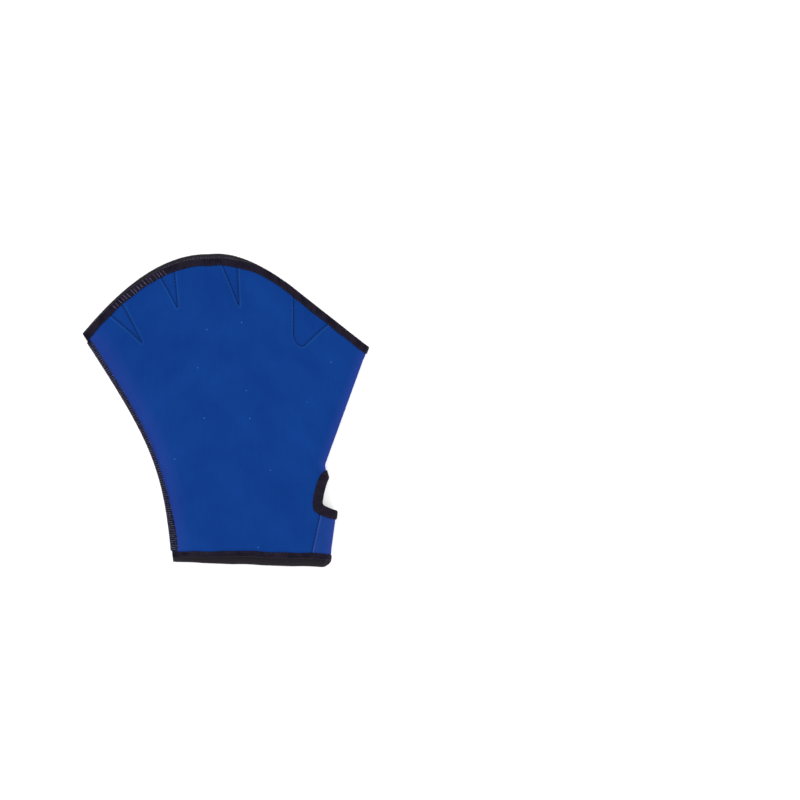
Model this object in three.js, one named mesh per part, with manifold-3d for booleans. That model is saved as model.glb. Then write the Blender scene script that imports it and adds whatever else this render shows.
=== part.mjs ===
// Webbed swim glove, left hand, lying with its back layer on the floor.
// Millimetres. X runs from the little-finger seam to the thumb fold, Y from the cuff to the fan edge, Z up.

import * as THREE from 'three';
import { mergeVertices } from 'three/addons/utils/BufferGeometryUtils.js';
import Module from 'manifold-3d';

const wasm = await Module();
wasm.setup();

// Outline of the finished glove seen from above
const gloveLength = 182;
const fanWidth = 166.6;
const fanCentre = -0.4;
const seamCornerDrop = 46.9;
const foldCornerDrop = 53.8;
const crownFromSeam = 73;
const seamCornerAngle = 48.6;
const seamCornerReach = 17.5;
const crownReachSeam = 34.3;
const crownReachFold = 5.2;
const slopeAngle = 38.3;
const slopeLength = 53;
const slopeReach = 40.6;

const cuffWidth = 91.2;
const cuffFromSeamCorner = 52.5;
const cuffTilt = 3.3;
const cuffSag = 0.4;
const seamBendAcross = 0.895;
const seamBendUp = 0.458;
const seamBendShare = 0.893;

const gussetRise = 31.7;
const gussetLean = 7.8;
const waistLength = 28.5;
const waistNarrowing = 6.3;
const waistReach = 3;

// Neoprene sheet and the space between its two layers
const wall = 2;
const seamWall = 1.4;
const seamPressed = 2.6;
const seamPressFade = 6;
const cuffHollow = 8.4;
const palmHollow = 10;
const fanHollow = 7.9;
const palmAt = 0.45;
const seamRise = 22;
const riseExponent = 2.2;
const lowerFold = 0.38;
const lowerFoldDepth = 0.48;
const upperFoldDepth = 1.28;

// Binding tape, overlock seam and the clearance that sewn pieces keep
const clearance = 0.3;
const tape = 0.6;
const tapeWidth = 3.7;
const cuffTapeWidth = 2.7;
const cuffTapeInside = 4.2;
const thumbTapeWidth = 4.5;
const seamWidth = 1.4;
const liftLength = 11;
const seamOpenLength = 10;
const tapeRound = 0.2;
const stack = tape + clearance;

// The front layer is cut a little shorter than the back layer
const cuffSetback = 4.6;
const cuffSetbackAtSeam = 0.6;
const cuffSetbackWhole = 0.5;
const crownSetback = 2.6;
const crownSetbackAtSeam = 0.3;
const crownSetbackWhole = 0.48;
const crownSetbackEnd = 0.64;
const setbackFrom = -0.75;
const setbackTurn = 0.3;

// Thumb hole, centred on the fold
const thumbHeight = 34.5;
const thumbDepth = 7.6;
const thumbUp = 17.8;
const thumbDown = 2.1;
const thumbUpPower = 1.2;
const thumbDownPower = 3.4;

// Wrist gusset below the thumb hole
const gussetTop = 7.8;
const gussetCuff = 10.8;

// Webs between the finger openings, as shares of the fan edge from the seam corner and of the deepest web
const webWall = 1.6;
const webDepth = 33;
const webDip = 1.3;
const webSpread = 6.5;
const webFade = 12;
const webs = [
  { seamLeg: 0.112, seamFoot: 0.17, foldFoot: 0.17, foldLeg: 0.158, depth: 1 },
  { seamLeg: 0.3, seamFoot: 0.326, foldFoot: 0.326, foldLeg: 0.343, depth: 0.87 },
  { seamLeg: 0.489, seamFoot: 0.532, foldFoot: 0.532, foldLeg: 0.534, depth: 0.93 },
  { seamLeg: 0.727, seamFoot: 0.743, foldFoot: 0.778, foldLeg: 0.855, depth: 0.89 },
];

// Fineness of the faceted solids
const backColumns = 12;
const lowerFoldColumns = 5;
const upperFoldColumns = 6;
const frontColumns = 26;
const middleRows = 20;
const edgeNear = 7.5;
const edgeFar = 12;
const seamNear = 6;
const seamFar = 10;
const fanRows = [0, tapeWidth + clearance, edgeNear, edgeFar];
const cuffRows = [0, cuffTapeWidth + clearance, edgeNear, edgeFar];
const seamColumns = [0, seamPressed, seamNear, seamFar];
const thumbStations = 48;
const webLegSteps = 4;

const { clamp, degToRad, lerp, smoothstep } = THREE.MathUtils;

// Outline curves, each from a named size
const crownY = gloveLength / 2;
const seamCorner = new THREE.Vector2(fanCentre - fanWidth / 2, crownY - seamCornerDrop);
const foldCorner = new THREE.Vector2(fanCentre + fanWidth / 2, crownY - foldCornerDrop);
const crown = new THREE.Vector2(seamCorner.x + crownFromSeam, crownY);
const cuffSeam = new THREE.Vector2(seamCorner.x + cuffFromSeamCorner, crownY - gloveLength + cuffTilt);
const cuffFold = new THREE.Vector2(cuffSeam.x + cuffWidth, crownY - gloveLength);

function away(from, degrees, distance) {
  const angle = degToRad(degrees);
  return new THREE.Vector2(from.x + Math.cos(angle) * distance, from.y + Math.sin(angle) * distance);
}

function chain(...curves) {
  const path = new THREE.CurvePath();
  curves.forEach((curve) => path.add(curve));
  return path;
}

const slopeStart = away(foldCorner, 180 - slopeAngle, slopeLength);
const fanEdge = chain(
  new THREE.CubicBezierCurve(
    seamCorner,
    away(seamCorner, seamCornerAngle, seamCornerReach),
    away(crown, 180, crownReachSeam),
    crown,
  ),
  new THREE.CubicBezierCurve(
    crown,
    away(crown, 0, crownReachFold),
    away(slopeStart, 180 - slopeAngle, slopeReach),
    slopeStart,
  ),
  new THREE.LineCurve(slopeStart, foldCorner),
);

const cuffMiddle = cuffSeam.clone().lerp(cuffFold, 0.5);
const cuffEdge = new THREE.QuadraticBezierCurve(
  cuffSeam,
  new THREE.Vector2(cuffMiddle.x, cuffMiddle.y - cuffSag),
  cuffFold,
);

const seamBend = new THREE.Vector2(
  lerp(seamCorner.x, cuffSeam.x, seamBendAcross),
  lerp(cuffSeam.y, seamCorner.y, seamBendUp),
);
const seamLine = chain(
  new THREE.CubicBezierCurve(
    cuffSeam,
    cuffSeam.clone().lerp(seamBend, seamBendShare),
    seamCorner.clone().lerp(seamBend, seamBendShare),
    seamCorner,
  ),
);

const gussetBend = away(cuffFold, 90 - gussetLean, gussetRise);
const foldBend = new THREE.Vector2(gussetBend.x - waistNarrowing, gussetBend.y + waistLength);
const foldReach = waistReach / foldBend.distanceTo(foldCorner);
const foldLine = chain(
  new THREE.LineCurve(cuffFold, gussetBend),
  new THREE.CubicBezierCurve(
    gussetBend,
    away(gussetBend, 90 - gussetLean, waistReach),
    foldBend.clone().lerp(foldCorner, -foldReach),
    foldBend,
  ),
  new THREE.LineCurve(foldBend, foldCorner),
);

// A point on a curve, carried straight on past its ends
function along(curve, share) {
  const inside = clamp(share, 0, 1);
  const point = curve.getPoint(inside);
  if (inside === share) return point;
  const step = 0.001;
  const before = curve.getPoint(Math.abs(inside - step));
  return point.addScaledVector(point.clone().sub(before), Math.abs(share - inside) / step);
}

// The glove's plan as one patch between its four edges: u from seam to fold, v from cuff to fan edge
function plan(u, v) {
  const point = along(cuffEdge, u).multiplyScalar(1 - v);
  point.addScaledVector(along(fanEdge, u), v);
  point.addScaledVector(along(seamLine, v), 1 - u);
  point.addScaledVector(along(foldLine, v), u);
  point.addScaledVector(cuffSeam, -(1 - u) * (1 - v));
  point.addScaledVector(cuffFold, -u * (1 - v));
  point.addScaledVector(seamCorner, -(1 - u) * v);
  point.addScaledVector(foldCorner, -u * v);
  return point;
}

// Width and length of the outline, each worked out once
const remembered = new Map();

function measured(kind, share, from, to) {
  const key = `${kind} ${share}`;
  if (!remembered.has(key)) remembered.set(key, along(from, share).distanceTo(along(to, share)));
  return remembered.get(key);
}

const widthAt = (v) => measured('width', v, seamLine, foldLine);
const lengthAt = (u) => measured('length', u, cuffEdge, fanEdge);

// Distance square to an end of the glove, per share up, at that end
function squareLength(curve, u, v) {
  const step = 0.001;
  const ahead = along(curve, u + step).sub(along(curve, u - step));
  const rise = plan(u, v + step).sub(plan(u, v - step));
  return Math.abs(ahead.cross(rise)) / ahead.length() / (2 * step);
}

// Height of the front layer over the back layer, middle of wall to middle of wall
function layerRise(v) {
  const toPalm = smoothstep(v, 0, palmAt);
  const toFan = smoothstep(v, palmAt, 1);
  return wall + lerp(lerp(cuffHollow, palmHollow, toPalm), fanHollow, toFan);
}

// The fold is two quarter ellipses that meet at its outermost line
function foldShape(front, v) {
  const rise = layerRise(v);
  const height = rise * (front ? 1 - lowerFold : lowerFold);
  const depth = rise * (front ? upperFoldDepth : lowerFoldDepth);
  const flatness = ((depth - height) / (depth + height)) ** 2;
  const girth = (Math.PI / 4) * (depth + height) * (1 + flatness / 4);
  return { height, depth, girth };
}

const foldInset = wall / 2;

// Girth along the sheet, from the outermost line of the fold, for a plan distance from the fold side
function girthAt(front, inward, v) {
  const { depth, girth } = foldShape(front, v);
  const reach = inward - foldInset;
  const angle = Math.acos(clamp(1 - reach / depth, 0, 1));
  const size = reach < depth ? (angle / (Math.PI / 2)) * girth : girth + reach - depth;
  return front ? size : -size;
}

const seamGirth = (front, v, distance) => girthAt(front, widthAt(v) - stack - distance, v);

// How far the webs pull the front layer down, from 0 away from them to 1 over them
function webPull(u, v) {
  let pull = 0;
  for (const web of webs) {
    const depth = (1 - v) * lengthAt(u);
    const foot = webDepth * web.depth;
    const down = clamp((depth - tapeWidth) / (foot - tapeWidth), 0, 1);
    const seamSide = lerp(web.seamLeg, web.seamFoot, down);
    const foldSide = lerp(web.foldLeg, web.foldFoot, down);
    const aside = Math.max(seamSide - u, u - foldSide) * widthAt(v);
    const near = 1 - smoothstep(aside, 0, webSpread);
    pull = Math.max(pull, near * (1 - smoothstep(depth, foot - webFade / 2, foot + webFade)));
  }
  return pull;
}

const thumbAt = thumbHeight / foldLine.getLength();

// Thickness of the sheet, pressed thin where the seam holds it
function thickness(inward, v) {
  const fromSeam = widthAt(v) - stack - inward;
  return lerp(seamWall, wall, smoothstep(fromSeam, seamPressed, seamPressed + seamPressFade));
}

// How far the back layer is lifted off the floor by the tape and thread beneath it
function backLift(inward, v) {
  const u = 1 - inward / widthAt(v);
  const fromEdge = Math.min(v, 1 - v) * lengthAt(u) - stack - tapeWidth;
  const fromSeam = widthAt(v) - inward - stack - seamWidth;
  const edge = 1 - smoothstep(Math.min(fromEdge, fromSeam), 1, liftLength);
  const up = (v - thumbAt) * foldLine.getLength();
  const across = inward / (thumbDepth + thumbTapeWidth);
  const upward = up / ((up > 0 ? thumbUp : thumbDown) + thumbTapeWidth);
  const hole = 1 - smoothstep(Math.hypot(across, upward), 1.4, 2.1);
  return stack * Math.max(edge, hole);
}

// Space between the layers at the seam: almost none, and two tapes' worth at its ends
function seamOpening(v) {
  const seamLength = seamLine.getLength();
  const fromFan = (1 - v) * seamLength - crownSetback * crownSetbackAtSeam;
  const fromCuff = v * seamLength - cuffSetback * cuffSetbackAtSeam;
  const fromEnd = Math.min(fromFan, fromCuff) - stack - tapeWidth;
  return clearance + 2 * stack * (1 - smoothstep(fromEnd, 1, seamOpenLength));
}

// Height of the middle of the sheet over the floor
function sheetHeight(front, inward, v) {
  const thick = thickness(inward, v);
  const back = thick / 2 + backLift(inward, v);
  if (!front) return back;
  const u = 1 - inward / widthAt(v);
  const seam = stack + seamWall * 1.5 + seamOpening(v);
  const top = wall / 2 + layerRise(v) - webDip * webPull(u, v);
  const rise = clamp((widthAt(v) - stack - inward - seamPressed) / seamRise, 0, 1);
  return lerp(seam, top, 1 - (1 - rise) ** riseExponent);
}

// Middle of the sheet at a girth from the fold line, negative on the back layer
function middle(girth, v) {
  const front = girth > 0;
  const shape = foldShape(front, v);
  const past = Math.abs(girth) - shape.girth;
  const angle = (Math.min(1, Math.abs(girth) / shape.girth) * Math.PI) / 2;
  const inward = foldInset + (past > 0 ? shape.depth + past : shape.depth * (1 - Math.cos(angle)));
  const flat = plan(1 - inward / widthAt(v), v);
  const edge = sheetHeight(front, foldInset + Math.max(shape.depth, inward - foldInset), v);
  const apex = wall / 2 + layerRise(v) * lowerFold;
  const height = past > 0 ? edge : lerp(apex, edge, Math.sin(angle));
  return { point: new THREE.Vector3(flat.x, flat.y, height), thick: thickness(inward, v) };
}

// A point a given way off the sheet's own face, outwards or into the hollow, or off its middle
function sheet(girth, v, side, gap) {
  const step = 0.05;
  const share = step / lengthAt(0.5);
  const here = middle(girth, v);
  const around = middle(girth + step, v).point.sub(middle(girth - step, v).point);
  const forward = middle(girth, v + share).point.sub(middle(girth, v - share).point);
  const normal = forward.cross(around).normalize();
  return here.point.addScaledVector(normal, side * (here.thick / 2 + gap));
}

// A closed wall between two grids of points: outer and inner, open or closed along i, open along k
function wallGeometry(countI, countK, closed, outer, inner) {
  const points = [];
  const faces = [];
  for (const place of [outer, inner]) {
    for (let i = 0; i < countI; i += 1) {
      for (let k = 0; k < countK; k += 1) points.push(...place(i, k).toArray());
    }
  }
  const at = (grid, i, k) => grid * countI * countK + (i % countI) * countK + k;
  const quad = (a, b, c, d) => faces.push(a, b, c, a, c, d);
  const lastI = closed ? countI : countI - 1;
  for (let i = 0; i < lastI; i += 1) {
    for (let k = 0; k < countK - 1; k += 1) {
      quad(at(0, i, k), at(0, i, k + 1), at(0, i + 1, k + 1), at(0, i + 1, k));
      quad(at(1, i, k), at(1, i + 1, k), at(1, i + 1, k + 1), at(1, i, k + 1));
    }
    quad(at(0, i, 0), at(0, i + 1, 0), at(1, i + 1, 0), at(1, i, 0));
    quad(at(0, i, countK - 1), at(1, i, countK - 1), at(1, i + 1, countK - 1), at(0, i + 1, countK - 1));
  }
  if (!closed) {
    for (let k = 0; k < countK - 1; k += 1) {
      quad(at(0, 0, k), at(1, 0, k), at(1, 0, k + 1), at(0, 0, k + 1));
      quad(at(0, lastI, k), at(0, lastI, k + 1), at(1, lastI, k + 1), at(1, lastI, k));
    }
  }
  const geometry = new THREE.BufferGeometry();
  geometry.setAttribute('position', new THREE.Float32BufferAttribute(points, 3));
  geometry.setIndex(faces);
  return geometry;
}

function signedVolume(geometry) {
  const position = geometry.getAttribute('position');
  const index = geometry.getIndex();
  const corners = [new THREE.Vector3(), new THREE.Vector3(), new THREE.Vector3()];
  let volume = 0;
  for (let face = 0; face < index.count; face += 3) {
    corners.forEach((corner, n) => corner.fromBufferAttribute(position, index.getX(face + n)));
    volume += corners[0].dot(corners[1].clone().cross(corners[2])) / 6;
  }
  return volume;
}

// Merged and turned so that the faces point out
function closedGeometry(geometry) {
  const merged = mergeVertices(geometry, 1e-4);
  const faces = Array.from(merged.getIndex().array);
  const kept = [];
  for (let face = 0; face < faces.length; face += 3) {
    const [a, b, c] = faces.slice(face, face + 3);
    if (a !== b && b !== c && c !== a) kept.push(a, b, c);
  }
  merged.setIndex(kept);
  if (signedVolume(merged) < 0) merged.setIndex(kept.reverse());
  return merged;
}

function toManifold(geometry) {
  const closed = closedGeometry(geometry);
  return new wasm.Manifold(new wasm.Mesh({
    numProp: 3,
    vertProperties: new Float32Array(closed.getAttribute('position').array),
    triVerts: new Uint32Array(closed.getIndex().array),
  }));
}

function fromManifold(solid) {
  const mesh = solid.getMesh();
  const geometry = new THREE.BufferGeometry();
  geometry.setAttribute('position', new THREE.BufferAttribute(mesh.vertProperties, 3));
  geometry.setIndex(new THREE.BufferAttribute(mesh.triVerts, 1));
  return geometry;
}

// Columns of the sheet, from the back layer's seam edge round the fold to the front layer's seam edge
function flatColumns(front, count) {
  const flat = seamColumns.map((inset) => ({ front, turn: 1, share: 1, inset }));
  const last = seamColumns[seamColumns.length - 1];
  for (let n = 1; n <= count; n += 1) {
    const share = 1 - n / count;
    flat.push({ front, turn: 1, share, inset: last * share });
  }
  return flat;
}

function foldColumns(front, count) {
  return Array.from({ length: count }, (_, n) => ({ front, turn: n / count, share: 0, inset: 0 }));
}

const columns = [
  ...flatColumns(false, backColumns),
  ...foldColumns(false, lowerFoldColumns).slice(1).reverse(),
  ...foldColumns(true, upperFoldColumns),
  ...flatColumns(true, frontColumns).reverse(),
];

function columnGirth({ front, turn, share, inset }, v) {
  const fold = foldShape(front, v).girth;
  const seam = Math.abs(seamGirth(front, v, 0));
  const size = lerp(fold * turn, seam, share) - inset;
  return front ? size : -size;
}

// Share across the plan of a column, for reading edge curves
function columnShare({ front, turn, share, inset }, v) {
  const depth = foldShape(front, v).depth * (1 - Math.cos((turn * Math.PI) / 2));
  const inward = foldInset + lerp(depth, widthAt(v) - stack - foldInset, share) - inset;
  return 1 - inward / widthAt(v);
}

// How far a column has taken the front layer's cut: 0 on the back layer, 1 on the front one
function frontness({ front, turn }) {
  return smoothstep(front ? turn : -turn, setbackFrom, setbackTurn);
}

// Where a column of the sheet starts at the cuff and ends at the fan edge
function cuffEnd(column) {
  const u = columnShare(column, 0);
  const nearSeam = lerp(cuffSetbackAtSeam, 1, smoothstep(u, 0, cuffSetbackWhole));
  const square = squareLength(cuffEdge, u, 0);
  return { start: (stack + cuffSetback * nearSeam * frontness(column)) / square, square };
}

function fanSetback(u) {
  const rise = lerp(crownSetbackAtSeam, 1, smoothstep(u, 0, crownSetbackWhole));
  return crownSetback * rise * (1 - smoothstep(u, crownSetbackWhole, crownSetbackEnd));
}

function fanEnd(column) {
  const u = columnShare(column, 1);
  const square = squareLength(fanEdge, u, 1);
  return { end: 1 - (stack + fanSetback(u) * frontness(column)) / square, square };
}

function columnRows(column) {
  const cuff = cuffEnd(column);
  const fan = fanEnd(column);
  const low = cuffRows.map((distance) => cuff.start + distance / cuff.square);
  const high = fanRows.map((distance) => fan.end - distance / fan.square).reverse();
  const rows = [];
  for (let n = 1; n < middleRows; n += 1) rows.push(lerp(low[low.length - 1], high[0], n / middleRows));
  return [...low, ...rows, ...high];
}

function foldedSheet() {
  const rows = columns.map(columnRows);
  const place = (side) => (i, k) => sheet(columnGirth(columns[i], rows[i][k]), rows[i][k], side, 0);
  return wallGeometry(columns.length, rows[0].length, false, place(1), place(-1));
}

// Edge of the thumb hole on the sheet, a closed line round the fold
function thumbLine(turn) {
  const angle = turn * 2 * Math.PI;
  const up = Math.sin(angle);
  const power = up > 0 ? thumbUpPower : thumbDownPower;
  const v = thumbAt + (up * (up > 0 ? thumbUp : thumbDown)) / foldLine.getLength();
  const inward = foldInset + thumbDepth * (1 - Math.abs(up) ** power);
  return new THREE.Vector2(girthAt(Math.cos(angle) > 0, inward, v), v);
}

// The same edge moved outwards over the sheet by grow, square to itself
function thumbEdge(turn, grow) {
  const step = 0.004;
  const here = thumbLine(turn);
  const ahead = thumbLine(turn + step).sub(thumbLine(turn - step));
  const length = lengthAt(0.5);
  const share = 1 / length;
  const around = middle(here.x + 1, here.y).point.sub(middle(here.x - 1, here.y).point);
  const forward = middle(here.x, here.y + share).point.sub(middle(here.x, here.y - share).point);
  around.divideScalar(2);
  forward.divideScalar(2);
  const edge = around.clone().multiplyScalar(ahead.x).addScaledVector(forward, ahead.y * length);
  const side = edge.cross(around.clone().cross(forward)).normalize();
  const wide = around.lengthSq();
  const tall = forward.lengthSq();
  const skew = around.dot(forward);
  const area = wide * tall - skew * skew;
  const across = (side.dot(around) * tall - side.dot(forward) * skew) / area;
  const up = (side.dot(forward) * wide - side.dot(around) * skew) / area;
  return { girth: here.x + across * grow, v: here.y + (up * grow) / length };
}

// Solids that reach past both faces of the sheet, for cutting it
const plugReach = 1;

function thumbPlug() {
  const centre = { girth: 0, v: thumbAt };
  const rings = 5;
  const place = (side) => (i, k) => {
    const edge = thumbEdge(i / thumbStations, 0);
    const share = k / (rings - 1);
    return sheet(lerp(edge.girth, centre.girth, share), lerp(edge.v, centre.v, share), side, plugReach);
  };
  return wallGeometry(thumbStations, rings, true, place(1), place(-1));
}

// Strip of the sheet round the fold below the thumb hole
function gussetPlug(gap) {
  const across = 16;
  const up = 8;
  const belowCuff = -0.05;
  const place = (side) => (i, k) => {
    const v = lerp(belowCuff, thumbAt, k / up);
    const inward = foldInset + lerp(gussetCuff, gussetTop, clamp(v / thumbAt, 0, 1)) + gap;
    const share = (2 * i) / across - 1;
    return sheet(girthAt(share > 0, inward, v) * Math.abs(share), v, side, plugReach);
  };
  return wallGeometry(across + 1, up + 1, false, place(1), place(-1));
}

// Section of a tape folded over an edge: distance in from the edge, side of the sheet, gap off its face
function tapeSection(width, inside = width) {
  return {
    outer: [
      { inward: width, side: 1, gap: stack },
      { inward: tapeRound, side: 1, gap: stack },
      { inward: -stack, side: 1, gap: -tapeRound },
      { inward: -stack, side: -1, gap: -tapeRound },
      { inward: tapeRound, side: -1, gap: stack },
      { inward: inside, side: -1, gap: stack },
    ],
    inner: [
      { inward: width, side: 1, gap: clearance },
      { inward: width / 2, side: 1, gap: clearance },
      { inward: -clearance, side: 1, gap: clearance },
      { inward: -clearance, side: -1, gap: clearance },
      { inward: inside / 2, side: -1, gap: clearance },
      { inward: inside, side: -1, gap: clearance },
    ],
  };
}

function edgeTape({ outer, inner }, rowAt) {
  const place = (list) => (i, k) => {
    const { inward, side, gap } = list[k];
    const v = rowAt(columns[i], inward);
    return sheet(columnGirth(columns[i], v), v, side, gap);
  };
  return wallGeometry(columns.length, outer.length, false, place(outer), place(inner));
}

function fanTape() {
  return edgeTape(tapeSection(tapeWidth), (column, inward) => {
    const { end, square } = fanEnd(column);
    return end - inward / square;
  });
}

function cuffTape() {
  return edgeTape(tapeSection(cuffTapeWidth, cuffTapeInside), (column, inward) => {
    const { start, square } = cuffEnd(column);
    return start + inward / square;
  });
}

function thumbTape() {
  const section = tapeSection(thumbTapeWidth);
  const place = (list) => (i, k) => {
    const { inward, side, gap } = list[k];
    const { girth, v } = thumbEdge(i / thumbStations, inward);
    return sheet(girth, v, side, gap);
  };
  return wallGeometry(thumbStations, section.outer.length, true, place(section.outer), place(section.inner));
}

// Overlock seam round both layers' edges, from binding to binding
function sideSeam() {
  const round = tape * 0.3;
  const section = tapeSection(seamWidth);
  const rows = columnRows(columns[columns.length - 1]).slice(1, -1);
  const place = (list) => (i, k) => {
    const { inward, side, gap } = list[k];
    return sheet(seamGirth(side > 0, rows[i], inward), rows[i], 1, gap);
  };
  return wallGeometry(rows.length, section.outer.length, false, place(section.outer), place(section.inner));
}

// A web stands between the layers along a V, or along a U where its two feet are apart
function webPath(web) {
  const topOf = (u) => {
    const inset = stack + tapeWidth + webWall / 2 + 2 * clearance + fanSetback(u);
    return new THREE.Vector2(u, (inset * lengthAt(u)) / squareLength(fanEdge, u, 1));
  };
  const seamTop = topOf(web.seamLeg);
  const foldTop = topOf(web.foldLeg);
  const seamFoot = new THREE.Vector2(web.seamFoot, webDepth * web.depth);
  const foldFoot = new THREE.Vector2(web.foldFoot, webDepth * web.depth);
  const points = [];
  for (let n = 0; n < webLegSteps; n += 1) points.push(seamTop.clone().lerp(seamFoot, n / webLegSteps));
  points.push(seamFoot);
  if (web.foldFoot > web.seamFoot) points.push(foldFoot);
  for (let n = webLegSteps - 1; n >= 0; n -= 1) points.push(foldTop.clone().lerp(foldFoot, n / webLegSteps));
  return points;
}

function webGeometry(web) {
  const path = webPath(web);
  const flat = path.map((point) => plan(point.x, 1 - point.y / lengthAt(point.x)));
  const place = (offset) => (i, k) => {
    const before = flat[Math.max(0, i - 1)];
    const after = flat[Math.min(flat.length - 1, i + 1)];
    const side = new THREE.Vector2(after.y - before.y, before.x - after.x).normalize();
    const u = path[i].x + (side.x * offset) / widthAt(1);
    const depth = path[i].y - side.y * offset;
    const v = 1 - depth / lengthAt(u);
    const girth = girthAt(k === 1, (1 - u) * widthAt(v), v);
    return sheet(girth, v, -1, clearance);
  };
  return wallGeometry(path.length, 2, false, place(webWall / 2), place(-webWall / 2));
}

// Materials, one for each piece
function neoprene(color) {
  return new THREE.MeshStandardMaterial({ color, roughness: 0.85, metalness: 0 });
}

function binding() {
  return new THREE.MeshStandardMaterial({ color: 0x221f2f, roughness: 0.8, metalness: 0 });
}

function thread() {
  return new THREE.MeshStandardMaterial({ color: 0x18161f, roughness: 0.9, metalness: 0 });
}

const glove = new THREE.Group();

function addPiece(name, geometry, material) {
  const mesh = new THREE.Mesh(geometry, material);
  mesh.name = name;
  glove.add(mesh);
}

const sheetSolid = toManifold(foldedSheet());
const holedSheet = sheetSolid.subtract(toManifold(thumbPlug()));
const body = holedSheet.subtract(toManifold(gussetPlug(clearance / 2)));
const gusset = holedSheet.intersect(toManifold(gussetPlug(-clearance / 2)));

addPiece('glove_body', fromManifold(body), neoprene(0x123e8c));
addPiece('wrist_gusset', fromManifold(gusset), neoprene(0x21428c));
addPiece('fan_binding', closedGeometry(fanTape()), binding());
addPiece('cuff_binding', closedGeometry(cuffTape()), binding());
addPiece('thumb_binding', closedGeometry(thumbTape()), binding());
addPiece('side_seam', closedGeometry(sideSeam()), thread());
webs.forEach((web, n) => {
  addPiece(`finger_web_${n + 1}`, closedGeometry(webGeometry(web)), neoprene(0x123a84));
});

export default glove;
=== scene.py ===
# %% [markdown]
# Webbed swim glove. The real glove is one sheet of blue neoprene, folded along the thumb side,
# overlocked along the little-finger side and bound with black tape wherever its edge would be raw.
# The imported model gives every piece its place, so this lesson dresses the pieces one by one:
# first the surface that the cloth follows, then the cloth, the webs, the tapes and the threads.

import math

import bpy
import numpy as np
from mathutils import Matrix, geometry, kdtree


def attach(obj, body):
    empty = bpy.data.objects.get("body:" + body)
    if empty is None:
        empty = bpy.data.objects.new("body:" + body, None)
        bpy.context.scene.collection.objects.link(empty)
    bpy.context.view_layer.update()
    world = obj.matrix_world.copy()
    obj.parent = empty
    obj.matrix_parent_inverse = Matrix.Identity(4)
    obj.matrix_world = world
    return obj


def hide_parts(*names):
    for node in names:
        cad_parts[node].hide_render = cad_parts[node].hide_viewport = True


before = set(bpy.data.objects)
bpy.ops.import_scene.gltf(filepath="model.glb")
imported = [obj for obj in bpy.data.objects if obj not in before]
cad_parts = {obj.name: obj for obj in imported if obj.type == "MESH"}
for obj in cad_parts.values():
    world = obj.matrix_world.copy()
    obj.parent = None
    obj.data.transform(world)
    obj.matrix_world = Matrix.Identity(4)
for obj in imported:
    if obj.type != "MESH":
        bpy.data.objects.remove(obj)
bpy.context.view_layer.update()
chance = np.random.default_rng(7)
MM = 0.001
print("nodes in the frame:", sorted(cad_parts))

# %% [markdown]
# The photograph was taken from straight above. One pixel is 0.58 mm on the floor, so the camera is
# put over the middle of the picture and the glove then lies left of the middle, as it does there.
# A long lens keeps the perspective as weak as in the picture.

# %% Camera
PIXEL = 0.58 * MM
PICTURE_PIXELS = 800
GLOVE_PIXEL_X = 225.5
GLOVE_PIXEL_Y = 410.75
CAMERA_HEIGHT = 6

bpy.ops.object.camera_add()
camera = bpy.context.object
middle_pixel = PICTURE_PIXELS / 2
camera.location = (
    (middle_pixel - GLOVE_PIXEL_X) * PIXEL,
    (GLOVE_PIXEL_Y - middle_pixel) * PIXEL,
    CAMERA_HEIGHT,
)
camera.data.lens = camera.data.sensor_width * CAMERA_HEIGHT / (PICTURE_PIXELS * PIXEL)
bpy.context.scene.camera = camera
print("lens in millimetres:", round(camera.data.lens, 1))

# %% [markdown]
# The cloth pieces all lie on one curved surface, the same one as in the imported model. Its sizes
# are kept in millimetres, as a pattern cutter would write them: the outline seen from above first,
# with X from the little-finger seam to the thumb fold and Y from the cuff to the fan edge.

# %% Sizes of the outline
GLOVE_LENGTH = 182
FAN_WIDTH = 166.6
FAN_CENTRE = -0.4
SEAM_CORNER_DROP = 46.9
FOLD_CORNER_DROP = 53.8
CROWN_FROM_SEAM = 73
SEAM_CORNER_ANGLE = 48.6
SEAM_CORNER_REACH = 17.5
CROWN_REACH_SEAM = 34.3
CROWN_REACH_FOLD = 5.2
SLOPE_ANGLE = 38.3
SLOPE_LENGTH = 53
SLOPE_REACH = 40.6
CUFF_WIDTH = 91.2
CUFF_FROM_SEAM_CORNER = 52.5
CUFF_TILT = 3.3
CUFF_SAG = 0.4
SEAM_BEND_ACROSS = 0.895
SEAM_BEND_UP = 0.458
SEAM_BEND_SHARE = 0.893
GUSSET_RISE = 31.7
GUSSET_LEAN = 7.8
WAIST_LENGTH = 28.5
WAIST_NARROWING = 6.3
WAIST_REACH = 3
print("glove:", GLOVE_LENGTH, "mm long and", FAN_WIDTH, "mm across the fan")

# %% [markdown]
# Next come the sizes that give the glove its depth: the sheet's wall, the hollow that the hand
# slides into, and the stack of tape that every bound edge carries.

# %% Sizes of the sheet, the tape and the openings
WALL = 2
SEAM_WALL = 1.4
SEAM_PRESSED = 2.6
SEAM_PRESS_FADE = 6
CUFF_HOLLOW = 8.4
PALM_HOLLOW = 10
FAN_HOLLOW = 7.9
PALM_AT = 0.45
SEAM_RISE = 22
RISE_EXPONENT = 2.2
LOWER_FOLD = 0.38
LOWER_FOLD_DEPTH = 0.48
UPPER_FOLD_DEPTH = 1.28
FOLD_INSET = WALL / 2
CLEARANCE = 0.3
STACK = 0.9
TAPE_WIDTH = 3.7
CUFF_TAPE_WIDTH = 2.7
CUFF_TAPE_INSIDE = 4.2
THUMB_TAPE_WIDTH = 4.5
SEAM_WIDTH = 1.4
LIFT_LENGTH = 11
SEAM_OPEN_LENGTH = 10
CUFF_SETBACK = 4.6
CUFF_SETBACK_AT_SEAM = 0.6
CUFF_SETBACK_WHOLE = 0.5
CROWN_SETBACK = 2.6
CROWN_SETBACK_AT_SEAM = 0.3
CROWN_SETBACK_WHOLE = 0.48
CROWN_SETBACK_END = 0.64
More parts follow.
